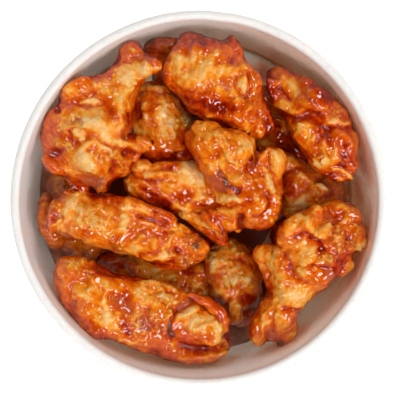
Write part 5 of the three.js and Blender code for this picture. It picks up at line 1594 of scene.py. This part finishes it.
def kept_in_bowl(points, settings):
    """Points moved in where they would pass through the bowl's wall, and up off its floor."""
    clear = 0.15 * MM
    limit = wall_radius(settings, points[:, 2]) - settings.board - clear
    far = np.hypot(points[:, 0], points[:, 1])
    points[:, :2] *= np.minimum(1, limit / far)[:, None]
    points[:, 2] = np.maximum(points[:, 2], FLOOR_TOP + clear)
    return points


class WingNoise:
    """A wing's own noise: calls with one key draw the same pattern."""

    def __init__(self, name, points):
        self.seed = 100 + 20 * WINGS.index(name)
        self.points = points
        turn = np.radians(LOOKS[name].streaks)
        along = points[:, 0] * np.cos(turn) + points[:, 1] * np.sin(turn)
        across = points[:, 1] * np.cos(turn) - points[:, 0] * np.sin(turn)
        self.drawn_out = np.stack([along / 3, across, points[:, 2]], 1)

    def noise(self, cell, key):
        """Noise with cells of a size in mm."""
        return noise(self.points, cell * MM, self.seed + key)

    def streaks(self, cell, key):
        """Noise that is stretched three times along the way of the wing's streaks."""
        return noise(self.drawn_out, cell * MM, self.seed + key)


def relief_of(own, sums, facing_up, streaks, settings):
    """How far the skin rises along its normals. Marks, held to -2.2 to 2.6 mm, count fully where
    it faces up and by a third where it faces down. Lumps are noise of 9 and 5 mm, wrinkles and
    puckers 1 - 2.2 |noise| of 4.5 and 2.2 mm, and crumbs |noise| of 2.8 and 1.5 mm, as far as it
    is crusty."""
    crumbly = np.abs(own.noise(2.8, 4)) + 0.7 * np.abs(own.noise(1.5, 15)) - 0.3
    wrinkled = 1 - 2.2 * np.abs(own.noise(4.5, 5))
    puckered = 1 - 2.2 * np.abs(own.noise(2.2, 6)) + 0.4 * own.noise(1.3, 7)
    rise = settings.depth * MM * sums["height"].clip(-2.2, 2.6) * (0.35 + 0.65 * facing_up)
    rise += settings.lumps * (own.noise(9, 8) + 0.8 * own.noise(5, 14))
    rise += settings.wrinkles * wrinkled
    rise += settings.puckers * puckered * (0.6 + 0.7 * sums["crust"].clip(0, 1))
    rise += settings.crumbs * crumbly * sums["crust"].clip(0, 1.2)
    return rise + settings.streaks * MM * streaks


def tone_of(coating, rise, height, upward, mean, settings):
    """The glaze's tone: its coating, paler where the skin stands proud of its surroundings, which
    are its smoothed self, and on the crests of marks, and darker the less it faces up: sauce
    gathered on steep sides, and painted shade on the sides that face down."""
    proud = 0.45 * ((rise - smoothed(rise, mean, 45)) / MM).clip(-0.7, 0.7)
    proud += settings.crests * (height - smoothed(height, mean, 6)).clip(-0.4, 0.4)
    # darker the less the skin faces up: sauce on steep sides and painted shade on those facing down
    sides_sauced_and_shaded = 1 - ramp(upward, -0.05, 0.5) + 0.5 * (1 - ramp(upward, 0.25, 0.85))
    return (coating + proud - settings.side_sauce_and_shade * sides_sauced_and_shaded).clip(-1.1, 1.2)


def make_wing(name, settings, bowl, material):
    """One wing piece: the round form of its solid, drawn in at its edges, with relief along its
    normals and the numbers that colour it. Marks stray by noise, so their edges aren't smooth.
    Steep sides are crusty in clusters, and relief is smoothed away where sauce lies thick."""
    mesh = refined(name, settings)
    base = positions_of(mesh)
    for path in EDGES.get(name, ()):
        base = drawn_in(base, path)
    set_positions(mesh, base)
    normals = normals_of(mesh)
    mean = neighbour_mean(mesh)
    own = WingNoise(name, base)

    stray = [own.noise(3.5, key) + 0.3 * own.noise(1.4, key + 2) for key in (0, 1)]
    spots = sighted(base, LOOKS[name].level) + settings.wander * np.stack(stray, 1)
    sums = marked(name, spots)
    facing_up = ramp(normals[:, 2], -0.1, 0.5)
    clusters = ramp(own.noise(10, 13), 0.0, 0.45) * (0.9 - 0.6 * facing_up)
    sums["crust"] = np.maximum(sums["crust"], clusters)
    streaks = own.streaks(1.6, 11) + 0.6 * own.streaks(3.6, 12)
    rise = relief_of(own, sums, facing_up, streaks, settings)

    patches = own.noise(14, 9) + 0.8 * own.noise(3.2, 10) + 2.6 * streaks
    coating = sums["tone"] + settings.patches * patches
    wet = 1 - ramp(smoothed(coating, mean, 4), -0.45, 0.25)
    rise += 0.85 * wet * (smoothed(rise, mean, 8) - rise)
    points = base + normals * (settings.fullness + rise)[:, None]
    set_positions(mesh, kept_in_bowl(points, bowl))

    sums["tone"] = tone_of(coating, rise, sums["height"], normals[:, 2], mean, settings)
    for kind in ("tone", "crust", "meat", "char"):
        set_attribute(mesh, kind, sums[kind])
    set_attribute(mesh, "gloss", 0.3 + 0.7 * ramp(normals[:, 2], 0.0, 0.55))
    new_piece("skin_" + name, mesh, material, [name])


# ---------------------------------------------------------------- the stage
# The small lights: where each stands, in m, and its share of their power.
SPARKS = (
    ((-0.45, 0.8, 1.0), 0.7),
    ((0.55, 0.75, 1.0), 0.9),
    ((-0.85, -0.3, 0.95), 0.7),
    ((0.1, -0.85, 1.0), 1.3),
    ((0.22, 0.3, 1.3), 0.45),
    ((0.1, -0.5, 1.24), 0.45),
    ((-0.32, -0.3, 1.3), 0.45),
)


def make_floor(settings):
    """A pale floor, wide and flat, that isn't part of the serving."""
    half = 3.0
    mesh = bpy.data.meshes.new("floor")
    corners = [(-half, -half, 0), (half, -half, 0), (half, half, 0), (-half, half, 0)]
    mesh.from_pydata(corners, [], [(0, 1, 2, 3)])
    floor = bpy.data.objects.new("floor", mesh)
    bpy.context.scene.collection.objects.link(floor)
    shader = Shader("floor")
    shader.dress({
        "Base Color": rgba(settings.floor),
        "Emission Color": rgba(settings.floor),
        "Emission Strength": settings.glow,
        "Roughness": 0.9,
    })
    mesh.materials.append(shader.material)


def make_light(name, place, size, power, mirrored=True):
    """A square soft light that faces the bowl, and shows in shiny surfaces if it is mirrored."""
    data = bpy.data.lights.new(name, "AREA")
    data.shape = "RECTANGLE"
    data.size = data.size_y = size
    data.energy = power
    light = bpy.data.objects.new(name, data)
    light.visible_glossy = mirrored
    light.location = place
    aim = Vector((0, 0, RIM_TOP)) - Vector(place)
    light.rotation_euler = aim.to_track_quat("-Z", "Y").to_euler()
    bpy.context.scene.collection.objects.link(light)


def make_lights(settings):
    """A wide light above, a soft one at the right, two that reach over the rim, and small ones all
    round that give the glints. Those that aren't mirrored only light."""
    make_light("overhead", (0.16, -0.32, 1.42), 0.9, settings.overhead, mirrored=False)
    make_light("key", (0.85, -0.3, 0.95), 0.36, settings.key)
    make_light("low_right", (0.93, -0.35, 0.62), 0.5, 0.45 * settings.low, mirrored=False)
    make_light("low_near", (0.0, -0.98, 0.62), 0.5, 0.55 * settings.low, mirrored=False)
    for index, (place, share) in enumerate(SPARKS):
        make_light("spark_" + str(index), place, 0.25 * share**0.5, settings.spark * share)


def make_sky(settings):
    """Even white light from all round, which doesn't show in shiny surfaces."""
    world = bpy.data.worlds.new("sky")
    bpy.context.scene.world = world
    world.cycles_visibility.glossy = False
    world.use_nodes = True
    background = world.node_tree.nodes["Background"].inputs
    background["Color"].default_value = (1, 1, 1, 1)
    background["Strength"].default_value = settings.sky


def make_camera(settings):
    """The camera over the bowl, which looks at the middle of the rim with +Y up."""
    data = bpy.data.cameras.new("camera")
    data.lens = settings.lens
    data.clip_start = 0.01
    camera = bpy.data.objects.new("camera", data)
    place = Vector(settings.camera)
    back = (place - Vector((0, 0, RIM_TOP))).normalized()
    right = Vector((0, 1, 0)).cross(back).normalized()
    turn = Matrix((right, back.cross(right), back)).transposed().to_4x4()
    camera.matrix_world = Matrix.Translation(place) @ turn
    bpy.context.scene.collection.objects.link(camera)
    bpy.context.scene.camera = camera


def make_stage(settings):
    """The floor, the lights, the sky and the camera over the bowl."""
    make_floor(settings)
    make_lights(settings)
    make_sky(settings)
    make_camera(settings)
    bpy.context.scene.view_settings.view_transform = "Standard"


# ---------------------------------------------------------------- operators and panel
class WINGS_OT_bowl(Operator):
    """Make the paper bowl"""

    bl_idname = "wings.bowl"
    bl_label = "Paper Bowl"

    def execute(self, context):
        make_bowl(context.scene.paper_bowl)
        return {"FINISHED"}


class WINGS_OT_wings(Operator):
    """Make the glazed wings"""

    bl_idname = "wings.wings"
    bl_label = "Glazed Wings"

    def execute(self, context):
        settings = context.scene.glazed_wings
        material = glaze_material(settings)
        for name in WINGS:
            make_wing(name, settings, context.scene.paper_bowl, material)
        return {"FINISHED"}


class WINGS_OT_stage(Operator):
    """Make the floor, the light and the camera"""

    bl_idname = "wings.stage"
    bl_label = "Stage"

    def execute(self, context):
        make_stage(context.scene.wings_stage)
        return {"FINISHED"}


OPERATORS = (WINGS_OT_bowl, WINGS_OT_wings, WINGS_OT_stage)


class WINGS_PT_panel(Panel):
    """Lists the pieces of the serving"""

    bl_label = "Chicken Wings"
    bl_idname = "WINGS_PT_panel"
    bl_space_type = "VIEW_3D"
    bl_region_type = "UI"
    bl_category = "Wings"

    def draw(self, context):
        for operator in OPERATORS:
            self.layout.operator(operator.bl_idname)


CLASSES = (BowlSettings, WingSettings, StageSettings, *OPERATORS, WINGS_PT_panel)


def register():
    """Adds the classes and the scene's settings."""
    for each in CLASSES:
        bpy.utils.register_class(each)
    bpy.types.Scene.paper_bowl = PointerProperty(type=BowlSettings)
    bpy.types.Scene.glazed_wings = PointerProperty(type=WingSettings)
    bpy.types.Scene.wings_stage = PointerProperty(type=StageSettings)


def unregister():
    """Takes away what register added."""
    del bpy.types.Scene.wings_stage
    del bpy.types.Scene.glazed_wings
    del bpy.types.Scene.paper_bowl
    for each in reversed(CLASSES):
        bpy.utils.unregister_class(each)


def main():
    """Makes the whole serving."""
    register()
    bpy.ops.wings.stage()
    bpy.ops.wings.bowl()
    bpy.ops.wings.wings()


if __name__ == "__main__":
    main()
